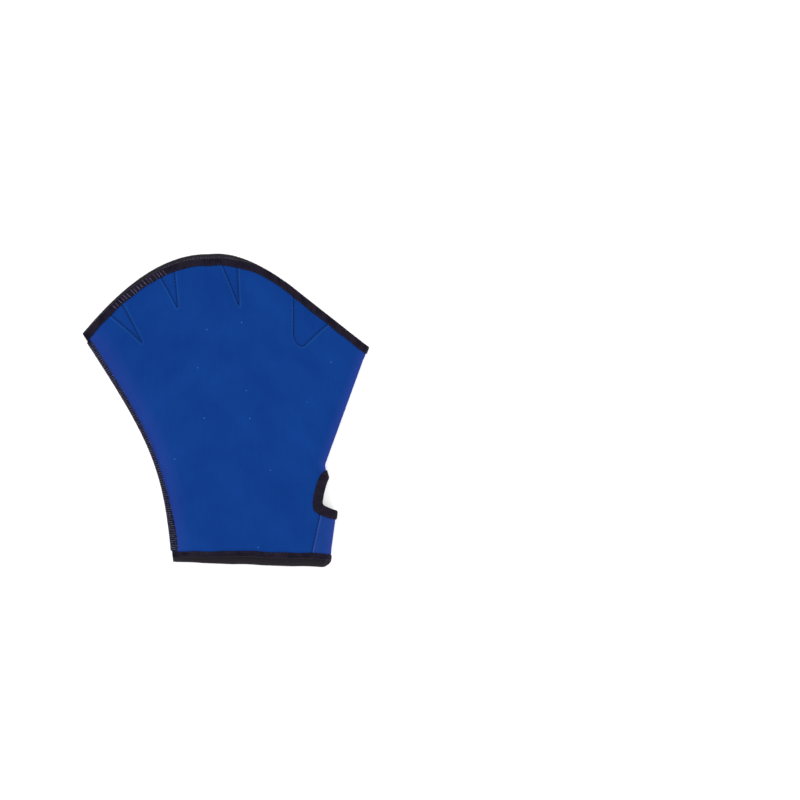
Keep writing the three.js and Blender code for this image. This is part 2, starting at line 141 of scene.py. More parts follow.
SETBACK_FROM = -0.75
SETBACK_TURN = 0.3
THUMB_HEIGHT = 34.5
THUMB_DEPTH = 7.6
THUMB_UP = 17.8
THUMB_DOWN = 2.1
THUMB_UP_POWER = 1.2
THUMB_DOWN_POWER = 3.4
GUSSET_TOP = 7.8
GUSSET_CUFF = 10.8
WEB_WALL = 1.6
WEB_DEPTH = 33
WEB_DIP = 1.3
WEB_SPREAD = 6.5
WEB_FADE = 12
WEBS = [
    {"seam_leg": 0.112, "seam_foot": 0.17, "fold_foot": 0.17, "fold_leg": 0.158, "depth": 1},
    {"seam_leg": 0.3, "seam_foot": 0.326, "fold_foot": 0.326, "fold_leg": 0.343, "depth": 0.87},
    {"seam_leg": 0.489, "seam_foot": 0.532, "fold_foot": 0.532, "fold_leg": 0.534, "depth": 0.93},
    {"seam_leg": 0.727, "seam_foot": 0.743, "fold_foot": 0.778, "fold_leg": 0.855, "depth": 0.89},
]
WEB_TURN = 1.2
WIDE_WEB_TURN = 3.4
print("hollow at cuff, palm and fan edge:", CUFF_HOLLOW, PALM_HOLLOW, FAN_HOLLOW, "mm")

# %% [markdown]
# The outline is four Bezier curves, which keep an edge smooth with only a few handles to place. All
# but the short cuff edge are read by their length, so that even steps along such a curve are even
# distances on the edge of the glove.

# %% Curves
CURVE_STEPS = 1500


def bezier(points, share):
    """Points of a Bezier curve: neighbouring handles are mixed until one is left."""
    place = np.asarray(share, float)[..., None]
    handles = [np.asarray(point, float) + 0 * place for point in points]
    while len(handles) > 1:
        handles = [mix(a, b, place) for a, b in zip(handles, handles[1:])]
    return handles[0]


def travel(points):
    """Distance travelled along a line, at each of its points."""
    return np.concatenate([[0], np.cumsum(np.linalg.norm(np.diff(points, axis=0), axis=1))])


def read_line(wanted, travelled, points):
    """Points of a line at the wanted distances along it."""
    return np.stack([np.interp(wanted, travelled, column) for column in points.T], axis=-1)


def chain(*pieces):
    """One curve made of several, with its share counted along its length."""
    steps = np.linspace(0, 1, CURVE_STEPS)
    points = np.concatenate([bezier(piece, steps) for piece in pieces])
    travelled = travel(points)

    def curve(share):
        return read_line(np.asarray(share, float) * travelled[-1], travelled, points)

    return curve, travelled[-1]


def away(start, degrees, distance):
    angle = math.radians(degrees)
    return start + np.array([math.cos(angle), math.sin(angle)]) * distance


def mix(low, high, share):
    return low + (high - low) * share


def smooth(value, low, high):
    share = np.clip((value - low) / (high - low), 0, 1)
    return share * share * (3 - 2 * share)


print("halfway up a smooth step:", smooth(0.5, 0, 1))

# %% [markdown]
# The edges meet in four corners. The fan edge rises from the seam corner to the crown and runs down
# a straight slope to the fold corner, the seam bends inwards to the wrist, and the fold is straight
# along the gusset and again above the thumb hole.

# %% The four edges of the outline
crown_y = GLOVE_LENGTH / 2
seam_corner = np.array([FAN_CENTRE - FAN_WIDTH / 2, crown_y - SEAM_CORNER_DROP])
fold_corner = np.array([FAN_CENTRE + FAN_WIDTH / 2, crown_y - FOLD_CORNER_DROP])
crown = np.array([seam_corner[0] + CROWN_FROM_SEAM, crown_y])
cuff_seam = np.array([seam_corner[0] + CUFF_FROM_SEAM_CORNER, crown_y - GLOVE_LENGTH + CUFF_TILT])
cuff_fold = np.array([cuff_seam[0] + CUFF_WIDTH, crown_y - GLOVE_LENGTH])

slope_start = away(fold_corner, 180 - SLOPE_ANGLE, SLOPE_LENGTH)
fan_edge, fan_length = chain(
    [
        seam_corner,
        away(seam_corner, SEAM_CORNER_ANGLE, SEAM_CORNER_REACH),
        away(crown, 180, CROWN_REACH_SEAM),
        crown,
    ],
    [
        crown,
        away(crown, 0, CROWN_REACH_FOLD),
        away(slope_start, 180 - SLOPE_ANGLE, SLOPE_REACH),
        slope_start,
    ],
    [slope_start, fold_corner],
)

cuff_handle = mix(cuff_seam, cuff_fold, 0.5) - np.array([0, CUFF_SAG])
seam_bend = np.array([
    mix(seam_corner[0], cuff_seam[0], SEAM_BEND_ACROSS),
    mix(cuff_seam[1], seam_corner[1], SEAM_BEND_UP),
])
gusset_bend = away(cuff_fold, 90 - GUSSET_LEAN, GUSSET_RISE)
fold_bend = gusset_bend + np.array([-WAIST_NARROWING, WAIST_LENGTH])
fold_reach = WAIST_REACH / np.linalg.norm(fold_corner - fold_bend)
fold_line, fold_length = chain(
    [cuff_fold, gusset_bend],
    [
        gusset_bend,
        away(gusset_bend, 90 - GUSSET_LEAN, WAIST_REACH),
        mix(fold_bend, fold_corner, -fold_reach),
        fold_bend,
    ],
    [fold_bend, fold_corner],
)


def cuff_edge(share):
    return bezier([cuff_seam, cuff_handle, cuff_fold], share)


low_handle = mix(cuff_seam, seam_bend, SEAM_BEND_SHARE)
high_handle = mix(seam_corner, seam_bend, SEAM_BEND_SHARE)
seam_line, seam_length = chain([cuff_seam, low_handle, high_handle, seam_corner])

lengths = [round(length, 1) for length in (fan_length, fold_length, seam_length)]
print("fan edge, fold and seam, in millimetres:", *lengths)

# %% [markdown]
# Between the four edges the plan is one patch: a point on the glove has a share across, from seam
# to fold, and a share up, from cuff to fan edge. Past its ends an edge runs straight on, because
# the tape reaches a little further than the cloth.

# %% The plan
SHARE_STEP = 0.001


def along(curve, share):
    inside = np.clip(share, 0, 1)
    point = curve(inside)
    past = np.abs(share - inside)[..., None] / SHARE_STEP
    return point + (point - curve(np.abs(inside - SHARE_STEP))) * past


def plan(across, up):
    across, up = np.broadcast_arrays(np.asarray(across, float), np.asarray(up, float))
    a, b = across[..., None], up[..., None]
    sides = along(cuff_edge, across) * (1 - b) + along(fan_edge, across) * b
    sides += along(seam_line, up) * (1 - a) + along(fold_line, up) * a
    corners = cuff_seam * (1 - a) * (1 - b) + cuff_fold * a * (1 - b)
    corners += seam_corner * (1 - a) * b + fold_corner * a * b
    return sides - corners


def width_at(up):
    up = np.asarray(up, float)
    return np.linalg.norm(along(seam_line, up) - along(fold_line, up), axis=-1)


def length_at(across):
    across = np.asarray(across, float)
    return np.linalg.norm(along(cuff_edge, across) - along(fan_edge, across), axis=-1)


def square_length(curve, across, up):
    """Distance square to an end of the glove, per share up, at that end."""
    across = np.asarray(across, float)
    ahead = along(curve, across + SHARE_STEP) - along(curve, across - SHARE_STEP)
    rise = plan(across, up + SHARE_STEP) - plan(across, up - SHARE_STEP)
    crossed = ahead[..., 0] * rise[..., 1] - ahead[..., 1] * rise[..., 0]
    return np.abs(crossed) / np.linalg.norm(ahead, axis=-1) / (2 * SHARE_STEP)


def cuff_square(across):
    return square_length(cuff_edge, across, 0.0)


def fan_square(across):
    return square_length(fan_edge, across, 1.0)


thumb_at = THUMB_HEIGHT / fold_length
mid_length = float(length_at(0.5))
print("length up the middle, in millimetres:", round(mid_length, 1))

# %% [markdown]
# The two layers of neoprene spring apart, so the glove is a flattened tube. Its fold is two quarter
# ellipses, and a place on the cloth is told by its girth, the distance along the cloth from the
# outermost line of the fold: positive on the front layer, negative on the back layer.

# %% The fold
def layer_rise(up):
    to_palm = smooth(up, 0, PALM_AT)
    to_fan = smooth(up, PALM_AT, 1)
    return WALL + mix(mix(CUFF_HOLLOW, PALM_HOLLOW, to_palm), FAN_HOLLOW, to_fan)


def fold_shape(front, up):
    rise = layer_rise(up)
    height = rise * np.where(front, 1 - LOWER_FOLD, LOWER_FOLD)
    depth = rise * np.where(front, UPPER_FOLD_DEPTH, LOWER_FOLD_DEPTH)
    flatness = ((depth - height) / (depth + height)) ** 2
    return depth, math.pi / 4 * (depth + height) * (1 + flatness / 4)


def girth_at(front, inward, up):
    """Girth of a place that is this far in from the fold side, seen from above."""
    depth, fold = fold_shape(front, up)
    reach = inward - FOLD_INSET
    turn = np.arccos(np.clip(1 - reach / depth, 0, 1)) / (math.pi / 2)
    size = np.where(reach < depth, turn * fold, fold + reach - depth)
    return np.where(front, size, -size)


def inward_at(girth, up):
    """The other way round: how far in from the fold side a girth lies."""
    depth, fold = fold_shape(girth > 0, up)
    past = np.abs(girth) - fold
    angle = np.minimum(1, np.abs(girth) / fold) * math.pi / 2
    return FOLD_INSET + np.where(past > 0, depth + past, depth * (1 - np.cos(angle)))


def seam_girth(front, up, distance=0):
    return girth_at(front, width_at(up) - STACK - distance, up)


print("rise between the layers at the palm, in millimetres:", float(layer_rise(PALM_AT)))

# %% [markdown]
# The front layer is held down at the seam and over the webs, and the back layer is lifted off the
# floor by the tape and thread under its edges. Both are heights over the floor.

# %% Heights
LIFT_FROM = 1
HOLE_LIFT_FROM = 1.4
HOLE_LIFT_TO = 2.1


def web_pull(across, up):
    pull = np.zeros(np.broadcast(across, up).shape)
    depth = (1 - up) * length_at(across)
    for web in WEBS:
        foot = WEB_DEPTH * web["depth"]
        down = np.clip((depth - TAPE_WIDTH) / (foot - TAPE_WIDTH), 0, 1)
        seam_side = mix(web["seam_leg"], web["seam_foot"], down)
        fold_side = mix(web["fold_leg"], web["fold_foot"], down)
        aside = np.maximum(seam_side - across, across - fold_side) * width_at(up)
        near = 1 - smooth(aside, 0, WEB_SPREAD)
        pull = np.maximum(pull, near * (1 - smooth(depth, foot - WEB_FADE / 2, foot + WEB_FADE)))
    return pull


def thickness(inward, up):
    from_seam = width_at(up) - STACK - inward
    return mix(SEAM_WALL, WALL, smooth(from_seam, SEAM_PRESSED, SEAM_PRESSED + SEAM_PRESS_FADE))


def back_lift(inward, up):
    across = 1 - inward / width_at(up)
    from_edge = np.minimum(up, 1 - up) * length_at(across) - STACK - TAPE_WIDTH
    from_seam = width_at(up) - inward - STACK - SEAM_WIDTH
    edge = 1 - smooth(np.minimum(from_edge, from_seam), LIFT_FROM, LIFT_LENGTH)
    above = (up - thumb_at) * fold_length
    reach = np.where(above > 0, THUMB_UP, THUMB_DOWN) + THUMB_TAPE_WIDTH
    from_hole = np.hypot(inward / (THUMB_DEPTH + THUMB_TAPE_WIDTH), above / reach)
    hole = 1 - smooth(from_hole, HOLE_LIFT_FROM, HOLE_LIFT_TO)
    return STACK * np.maximum(edge, hole)


def seam_opening(up):
    from_fan = (1 - up) * seam_length - CROWN_SETBACK * CROWN_SETBACK_AT_SEAM
    from_cuff = up * seam_length - CUFF_SETBACK * CUFF_SETBACK_AT_SEAM
    from_end = np.minimum(from_fan, from_cuff) - STACK - TAPE_WIDTH
    return CLEARANCE + 2 * STACK * (1 - smooth(from_end, LIFT_FROM, SEAM_OPEN_LENGTH))


def sheet_height(front, inward, up):
    back = thickness(inward, up) / 2 + back_lift(inward, up)
    across = 1 - inward / width_at(up)
    seam = STACK + SEAM_WALL * 1.5 + seam_opening(up)
    top = WALL / 2 + layer_rise(up) - WEB_DIP * web_pull(across, up)
    rise = np.clip((width_at(up) - STACK - inward - SEAM_PRESSED) / SEAM_RISE, 0, 1)
    return np.where(front, mix(seam, top, 1 - (1 - rise) ** RISE_EXPONENT), back)


print("tape under an edge lifts the back layer by", STACK, "mm")

# %% [markdown]
# With plan, fold and heights in hand, the middle of the sheet is a surface in space, and a point
# off its face lies along its normal. The normal comes from two short steps on the surface.

# %% The surface of the cloth
NORMAL_STEP = 0.05


def middle(girth, up):
    girth, up = np.broadcast_arrays(np.asarray(girth, float), np.asarray(up, float))
    depth, fold = fold_shape(girth > 0, up)
    inward = inward_at(girth, up)
    flat = plan(1 - inward / width_at(up), up)
    edge = sheet_height(girth > 0, np.maximum(FOLD_INSET + depth, inward), up)
    apex = WALL / 2 + layer_rise(up) * LOWER_FOLD
    angle = np.minimum(1, np.abs(girth) / fold) * math.pi / 2
    height = mix(apex, edge, np.sin(angle))
    return np.concatenate([flat, height[..., None]], axis=-1)


def outward(girth, up):
    share = NORMAL_STEP / mid_length
    around = middle(girth + NORMAL_STEP, up) - middle(girth - NORMAL_STEP, up)
    forward = middle(girth, up + share) - middle(girth, up - share)
    normal = np.cross(forward, around)
    return normal / np.linalg.norm(normal, axis=-1, keepdims=True)


def off_middle(girth, up, distance):
    return middle(girth, up) + outward(girth, up) * np.asarray(distance, float)[..., None]


def off_face(girth, up, side, gap):
    half = thickness(inward_at(girth, up), up) / 2
    return off_middle(girth, up, side * (half + gap))


print("a place on the outside of the front layer:", off_face(60, 0.5, 1, 0).round(1))

# %% [markdown]
# The flat pattern is a rectangle: one share goes round the glove, from the back layer's seam edge over
# the fold to the front layer's seam edge, and the other from cuff to fan. The front layer is cut
# back a little at both ends, which is why the back layer's tape shows past it in the picture.

# %% The flat pattern
def pattern_girth(turn, up):
    return np.abs(turn) * seam_girth(turn > 0, up)


def pattern_across(turn, up):
    return 1 - inward_at(pattern_girth(turn, up), up) / width_at(up)


def frontness(turn, up):
    """How far a place has taken the front layer's cut: 0 on the back layer, 1 on the front one."""
    fold = fold_shape(turn > 0, up)[1]
    return smooth(pattern_girth(turn, up) / fold, SETBACK_FROM, SETBACK_TURN)


CUFF_WAVE = 0.3
CUFF_WAVES = 2.6
CUFF_WAVE_FROM = 0.2


def cuff_start(turn):
    across = pattern_across(turn, 0.0)
    near_seam = mix(CUFF_SETBACK_AT_SEAM, 1, smooth(across, 0, CUFF_SETBACK_WHOLE))
    wave = CUFF_WAVE * np.sin(across * CUFF_WAVES * 2 * math.pi) * smooth(across, 0, CUFF_WAVE_FROM)
    inset = STACK + np.maximum(0, wave) + CUFF_SETBACK * near_seam * frontness(turn, 0.0)
    return inset / cuff_square(across)


def fan_setback(across):
    rise = mix(CROWN_SETBACK_AT_SEAM, 1, smooth(across, 0, CROWN_SETBACK_WHOLE))
    return CROWN_SETBACK * rise * (1 - smooth(across, CROWN_SETBACK_WHOLE, CROWN_SETBACK_END))


def fan_end(turn):
    across = pattern_across(turn, 1.0)
    return 1 - (STACK + fan_setback(across) * frontness(turn, 1.0)) / fan_square(across)


def line_length(turn):
    return length_at(pattern_across(turn, 0.5))


print("front layer starts at the share", cuff_start(np.array([0.5])).round(3), "up")

# %% [markdown]
# Two functions carry a place over: one from the cloth to the flat pattern, where lines are drawn
# and points are spread, and one back to the cloth, where the finished mesh has its points.

# %% Between the pattern and the cloth
HALF_GIRTH = 150
PATTERN_LENGTH = 160


def to_pattern(girth, up):
    """Place on the flat pattern, in its own millimetres, of a place on the cloth."""
    turn = girth / np.abs(seam_girth(girth > 0, up))
    low = cuff_start(turn)
    return np.stack([turn * HALF_GIRTH, (up - low) / (fan_end(turn) - low) * PATTERN_LENGTH], axis=-1)


def from_pattern(points):
    turn = points[..., 0] / HALF_GIRTH
    up = mix(cuff_start(turn), fan_end(turn), points[..., 1] / PATTERN_LENGTH)
    return pattern_girth(turn, up), up


print("pattern:", 2 * HALF_GIRTH, "by", PATTERN_LENGTH)

# %% [markdown]
# Two kinds of lines lie by the fold: the edge of the thumb hole, which goes round the fold, and the
# two seams of the small gusset under it. The tape of the hole needs its edge moved outwards over
# the cloth, which is done with the two directions that the surface has at each place.

# %% The thumb hole and the gusset
THUMB_STEP = 0.004


def thumb_line(turn):
    angle = turn * 2 * math.pi
    rise = np.sin(angle)
    power = np.where(rise > 0, THUMB_UP_POWER, THUMB_DOWN_POWER)
    up = thumb_at + rise * np.where(rise > 0, THUMB_UP, THUMB_DOWN) / fold_length
    inward = FOLD_INSET + THUMB_DEPTH * (1 - np.abs(rise) ** power)
    return girth_at(np.cos(angle) > 0, inward, up), up


def dot(a, b):
    return (a * b).sum(axis=-1)


def thumb_edge(turn, grow):
    """The hole's edge, moved outwards over the cloth and square to itself."""
    girth, up = thumb_line(turn)
    next_girth, next_up = thumb_line(turn + THUMB_STEP)
    last_girth, last_up = thumb_line(turn - THUMB_STEP)
    share = 1 / mid_length
    around = (middle(girth + 1, up) - middle(girth - 1, up)) / 2
    forward = (middle(girth, up + share) - middle(girth, up - share)) / 2
    edge = around * (next_girth - last_girth)[..., None]
    edge = edge + forward * ((next_up - last_up) * mid_length)[..., None]
    side = np.cross(edge, np.cross(around, forward))
    side /= np.linalg.norm(side, axis=-1, keepdims=True)
    wide, tall, skew = dot(around, around), dot(forward, forward), dot(around, forward)
    area = wide * tall - skew * skew
    across = (dot(side, around) * tall - dot(side, forward) * skew) / area
    along_glove = (dot(side, forward) * wide - dot(side, around) * skew) / area
    return girth + across * grow, up + along_glove * grow / mid_length


def gusset_inward(up):
    return FOLD_INSET + mix(GUSSET_CUFF, GUSSET_TOP, np.clip(up / thumb_at, 0, 1))


def gusset_girth(front, up):
    return girth_at(front, gusset_inward(up), up)


print("the thumb hole's middle, as a share up the glove:", round(thumb_at, 3))

# %% [markdown]
# The rows of stitching that hold the webs show on the front layer as thin V shapes, and the last one
# as a wide U. Each is a line through three or four corners, rounded by taking the mean of the same
# line shifted to and fro along itself.

# %% Rows of web stitching
LEG_LEVEL = 0.9
ROUNDING_STEPS = 9
leg_scale = np.array([width_at(LEG_LEVEL), 1])


def leg_corners(web, gap):
    foot = WEB_DEPTH * web["depth"]
    tops = []
    for across in (web["seam_leg"], web["fold_leg"]):
        inset = STACK + TAPE_WIDTH + gap + fan_setback(across)
        tops.append((across, inset * length_at(across) / fan_square(across)))
    corners = [tops[0], (web["seam_foot"], foot), (web["fold_foot"], foot), tops[1]]
    if web["seam_foot"] == web["fold_foot"]:
        corners.pop(1)
    return np.array(corners, float)


def leg_points(web, step, gap=CLEARANCE):
    """Places of a web's stitching, as shares across and distances down from the fan edge."""
    corners = leg_corners(web, gap)
    travelled = travel(corners * leg_scale)
    places = np.linspace(0, travelled[-1], max(2, round(travelled[-1] / step)))
    turn = WIDE_WEB_TURN if len(corners) > 3 else WEB_TURN
    rounded = []
    for shift in np.linspace(-turn, turn, ROUNDING_STEPS):
        from_end = np.minimum(1, np.minimum(places, places[::-1]) / turn)
        moved = np.clip(places + shift * from_end, 0, places[-1])
        rounded.append(read_line(moved, travelled, corners))
    return np.mean(rounded, axis=0)


def leg_places(points, front=True):
    up = 1 - points[:, 1] / length_at(points[:, 0])
    return girth_at(front, (1 - points[:, 0]) * width_at(up), up), up


print("width at the webs, in millimetres:", round(float(leg_scale[0]), 1))

# %% [markdown]
# The cloth is cut like real cloth: the flat pattern is filled with points, closer together by the
# stitching, and a Delaunay triangulation joins them so that the hole and the gusset seams are true
# edges of triangles. The triangles inside the hole are dropped and the gusset's are set apart.

# %% Points of the pattern
PITCH = 1.15
LEG_STEP = 0.6
HOLE_POINTS = 150
GUSSET_POINTS = 90
GUSSET_FROM = 0.3
LEG_ROWS = (-1.5, -0.9, -0.45, 0, 0.45, 0.9, 1.5)
GUSSET_ROWS = (-1.4, -0.7, 0.7, 1.4)


def beside(points, offset):
    """The same line moved sideways on the pattern."""
    ahead = np.gradient(points, axis=0)
    ahead /= np.linalg.norm(ahead, axis=1, keepdims=True)
    return points + np.stack([ahead[:, 1], -ahead[:, 0]], axis=1) * offset


leg_lines = [to_pattern(*leg_places(leg_points(web, LEG_STEP))) for web in WEBS]
hole_line = to_pattern(*thumb_line(np.linspace(0, 1, HOLE_POINTS, endpoint=False)))
gusset_lines = []
for front in (True, False):
    up = np.linspace(0.0, thumb_at, GUSSET_POINTS)
    line = to_pattern(gusset_girth(front, up), up)
    line = line[line[:, 1] > GUSSET_FROM]
    gusset_lines.append(np.concatenate([[[line[0, 0], 0]], line]))

relief_rows = [beside(line, offset) for line in leg_lines for offset in LEG_ROWS]
relief_rows += [beside(line[1:], offset) for line in gusset_lines for offset in GUSSET_ROWS]
relief_points = np.concatenate(relief_rows)
print("points along the stitching:", len(relief_points))

# %% [markdown]
# The border, the hole and the gusset seams are kept as they are. Points of the stitching stay a
# little off them, and points of the plain grid stay off both, so that no triangle is a sliver.

# %% Triangles of the pattern
ROW_GAP = 0.35
GRID_GAP = PITCH * 0.55
MERGE_DISTANCE = 1e-5


def tree_of(points):
    """A search tree over places on the flat pattern."""
    tree = kdtree.KDTree(len(points))
    for n, (x, y) in enumerate(points):
        tree.insert((x, y, 0), n)
    tree.balance()
    return tree


def closed_edges(first, count):
    return [(first + n, first + (n + 1) % count) for n in range(count)]


def open_edges(first, count):
    return [(first + n, first + n + 1) for n in range(count - 1)]


def pattern_border(wide, tall):
    low = [(x, 0) for x in wide[:-1]]
    high = [(x, PATTERN_LENGTH) for x in wide[:0:-1]]
    right = [(HALF_GIRTH, y) for y in tall[:-1]]
    left = [(-HALF_GIRTH, y) for y in tall[:0:-1]]
    return np.array(low + right + high + left)


def cut_pattern():
    wide = np.linspace(-HALF_GIRTH, HALF_GIRTH, round(2 * HALF_GIRTH / PITCH))
    tall = np.linspace(0, PATTERN_LENGTH, round(PATTERN_LENGTH / PITCH))
    border = pattern_border(wide, tall)
    edges = closed_edges(0, len(border)) + closed_edges(len(border), len(hole_line))
    first = len(border) + len(hole_line)
    for line in gusset_lines:
        edges += open_edges(first, len(line))
        first += len(line)
    fixed = np.concatenate([border, hole_line, *gusset_lines])
    near = tree_of(fixed)
    inside = (relief_points[:, 1] < PATTERN_LENGTH - PITCH / 2) & (relief_points[:, 1] > PITCH / 2)
    extra = [p for p in relief_points[inside] if near.find((p[0], p[1], 0))[2] > ROW_GAP]
    crowd = tree_of([*fixed, *extra])
    grid = [(x, y) for y in tall[1:-1] for x in wide[1:-1] if crowd.find((x, y, 0))[2] > GRID_GAP]
    points = np.concatenate([fixed, np.array(extra), np.array(grid)])
    result = geometry.delaunay_2d_cdt([tuple(p) for p in points], edges, [], 0, MERGE_DISTANCE, False)
    return np.array([tuple(p) for p in result[0]]), np.array(result[2])


pattern_points, pattern_faces = cut_pattern()
print("pattern:", len(pattern_points), "points", len(pattern_faces), "triangles")

# %% [markdown]
# A triangle belongs to the hole when its centre lies inside the hole's line, and to the gusset when
# it lies under the hole and nearer to the fold than the gusset's seam. All others are the body.

# %% Which triangles belong to which piece
def within(points, loop):
    """True for points inside a closed loop, by counting the edges to one side of them."""
    inside = np.zeros(len(points), bool)
    for (x0, y0), (x1, y1) in zip(loop, np.roll(loop, -1, axis=0)):
        crosses = (y0 > points[:, 1]) != (y1 > points[:, 1])
        reach = x0 + (points[:, 1] - y0) * (x1 - x0) / (y1 - y0 if y1 != y0 else 1)
        inside ^= crosses & (points[:, 0] < reach)
    return inside


centres = pattern_points[pattern_faces].mean(axis=1)
centre_girth, centre_up = from_pattern(centres)
in_hole = within(centres, hole_line)
gusset_reach = np.abs(gusset_girth(centre_girth > 0, centre_up))
in_gusset = (np.abs(centre_girth) < gusset_reach) & (centre_up < thumb_at) & ~in_hole
body_faces = pattern_faces[~in_hole & ~in_gusset]
gusset_faces = pattern_faces[in_gusset]
print("triangles of body and gusset:", len(body_faces), len(gusset_faces))

# %% [markdown]
# Soft relief goes on the outer face as small heights: grooves where the webs and the gusset are
# sewn, a low swell beside the tapes, where the stitching squeezes the foam, and long shallow waves
# over the palm. The floor keeps the back layer flat, so the waves are on the front alone.

# %% Relief of one seam
GROOVE = 0.5
GROOVE_WIDTH = 0.42
RIDGE = 0.3
LOW_RIDGE = 0.06
RIDGE_AT = 1.15
RIDGE_WIDTH = 0.55
FINE_STEPS = 6


def line_distance(points, line):
    """Distance of each point from a line of short steps, and on which side of it the point is."""
    tree = tree_of(line)
    found = [tree.find((x, y, 0)) for x, y in points]
    nearest = np.array([item[1] for item in found])
    ahead = np.gradient(line, axis=0)[nearest]
    offset = points - line[nearest]
    side = np.sign(ahead[:, 0] * offset[:, 1] - ahead[:, 1] * offset[:, 0])
    return np.array([item[2] for item in found]), side


def seam_relief(distance, side):
    groove = -GROOVE * np.exp(-((distance / GROOVE_WIDTH) ** 2))
    ridge = np.where(side > 0, RIDGE, LOW_RIDGE)
    return groove + ridge * np.exp(-(((distance - RIDGE_AT) / RIDGE_WIDTH) ** 2))


def fine_line(line):
    """The same line in steps of about a tenth of a millimetre."""
    places = np.linspace(0, len(line) - 1, len(line) * FINE_STEPS)
    return read_line(places, np.arange(len(line)), line)


print("groove at a stitch, in millimetres:", round(float(seam_relief(0, 1)), 2))


# %% Relief of the whole cloth
SWELL = 0.22
SWELL_AT = 1.6
SWELL_WIDTH = 1.3
ROW_REACH = 5
WAVE_FROM_EDGE = (2, 16)
WAVE_FROM_SEAM = (0.05, 0.25)
WAVE_FROM_FOLD = (0.1, 0.3)
WAVES = [
    {"height": 0.16, "across": 3.1, "up": 1.3, "start": 0.4},
    {"height": 0.13, "across": -2.2, "up": 3.4, "start": 1.9},
    {"height": 0.08, "across": 6.5, "up": 4.2, "start": 3.3},
]


def relief(points):
    """Height of the relief, and the signed distance from the nearest row of stitching."""
    girth, up = from_pattern(points)
    across = 1 - inward_at(girth, up) / width_at(up)
    height = np.zeros(len(points))
    beside_row = np.full(len(points), ROW_REACH)
    for line in [*leg_lines, *gusset_lines]:
        distance, side = line_distance(points, fine_line(line))
        height += seam_relief(distance, side)
        beside_row = np.where(distance < np.abs(beside_row), distance * side, beside_row)
    turn = points[:, 0] / HALF_GIRTH
    from_fan = (1 - points[:, 1] / PATTERN_LENGTH) * line_length(turn) - TAPE_WIDTH
    from_cuff = points[:, 1] / PATTERN_LENGTH * line_length(turn) - CUFF_TAPE_WIDTH
    nearest = np.minimum(from_fan, from_cuff)
    height += SWELL * np.exp(-(((nearest - SWELL_AT) / SWELL_WIDTH) ** 2))
    inner = smooth(nearest, *WAVE_FROM_EDGE)
    inner = inner * smooth(across, *WAVE_FROM_SEAM) * smooth(1 - across, *WAVE_FROM_FOLD)
    for wave in WAVES:
        phase = wave["across"] * across + wave["up"] * up + wave["start"]
        height += wave["height"] * np.sin(phase * math.pi) * inner * (girth > 0)
    return height, beside_row


palm = to_pattern(np.array([60.0]), np.array([0.5]))
print("relief at the middle of the palm, in millimetres:", relief(palm)[0].round(2))

# %% [markdown]
# The closed sheet has the relief on its outer face and a plain inner face, and a rim where the
# pattern is cut. Its UV map is the flat cloth in millimetres, so the knit runs up the glove. A second
# map holds the distances from the stitching and from the sides, which place painted light on the blue.

# %% Meshes and their flat maps
CLOTH_SHARP = 50
TAPE_SHARP = 60
THREAD_SHARP = 70


def new_piece(name, points, faces, sharp_angle=CLOTH_SHARP):
    mesh = bpy.data.meshes.new(name)
    mesh.from_pydata([tuple(p * MM) for p in points], [], [tuple(int(n) for n in f) for f in faces])
    mesh.validate()
    piece = bpy.data.objects.new(name, mesh)
    bpy.context.scene.collection.objects.link(piece)
    mesh.shade_smooth()
    mesh.set_sharp_from_angle(angle=math.radians(sharp_angle))
    return piece


def set_uv(piece, flat, name="cloth"):
    """A UV map from one flat place for each point of the mesh."""
    corners = np.zeros(len(piece.data.loops), int)
    piece.data.loops.foreach_get("vertex_index", corners)
    layer = piece.data.uv_layers.new(name=name)
    layer.data.foreach_set("uv", np.asarray(flat, np.float32)[corners].ravel())


# %% Closed sheets of cloth
INNER_RELIEF = 0.1
INNER_UV_SHIFT = 3.7
NO_ROW = ROW_REACH * 4
FOLD_FADE = 2.5


def rim_edges(faces):
    """Edges that only one triangle has, in that triangle's own direction."""
    directed = np.concatenate([faces[:, [0, 1]], faces[:, [1, 2]], faces[:, [2, 0]]])
    _, first, times = np.unique(np.sort(directed, axis=1), axis=0, return_index=True, return_counts=True)
    return directed[first[times == 1]]


def cloth_piece(name, faces):
    used = np.unique(faces)
    number = np.full(len(pattern_points), -1)
    number[used] = np.arange(len(used))
    faces = number[faces][:, ::-1]
    points = pattern_points[used]
    girth, up = from_pattern(points)
    inward = inward_at(girth, up)
    bumps, beside_row = relief(points)
    half = thickness(inward, up) / 2
    outer = off_middle(girth, up, half + bumps)
    inner = off_middle(girth, up, -half + np.clip(bumps, -INNER_RELIEF, INNER_RELIEF))
    count = len(points)
    rim = [(j, i, i + count, j + count) for i, j in rim_edges(faces)]
    piece = new_piece(name, np.concatenate([outer, inner]), [*faces, *(faces[:, ::-1] + count), *rim])
    flat_x = middle(girth, up)[:, 0] - np.sign(girth) * (np.abs(girth) - inward)
    flat = np.stack([flat_x, up * mid_length], axis=1)
    set_uv(piece, np.concatenate([flat, flat + INNER_UV_SHIFT]))
    # Distances for the painted highlight and shade by the stitching and the painted sheen by the sides.
    rows = np.stack([beside_row, np.minimum(FOLD_FADE * inward, width_at(up) - inward)], axis=1)
    set_uv(piece, np.concatenate([rows, rows * 0 + NO_ROW]), "stitching")
    return piece


glove_body = cloth_piece("glove_cloth", body_faces)
wrist_gusset = cloth_piece("gusset_cloth", gusset_faces)
print("glove cloth:", len(glove_body.data.polygons), "faces")

# %% [markdown]
# The webs are strips of the same neoprene, standing on edge between the two layers. Seen through
# the finger openings they bow a little, because the foam pushes back where it is sewn.

# %% Wall between two grids of points
def signed_volume(points, faces):
    """Volume inside the faces, below nought when they look inwards."""
    corners = points[np.array(faces)]
    first, second, third, fourth = (corners[:, n] for n in range(4))
    return float(dot(first, np.cross(second, third) + np.cross(third, fourth)).sum()) / 6


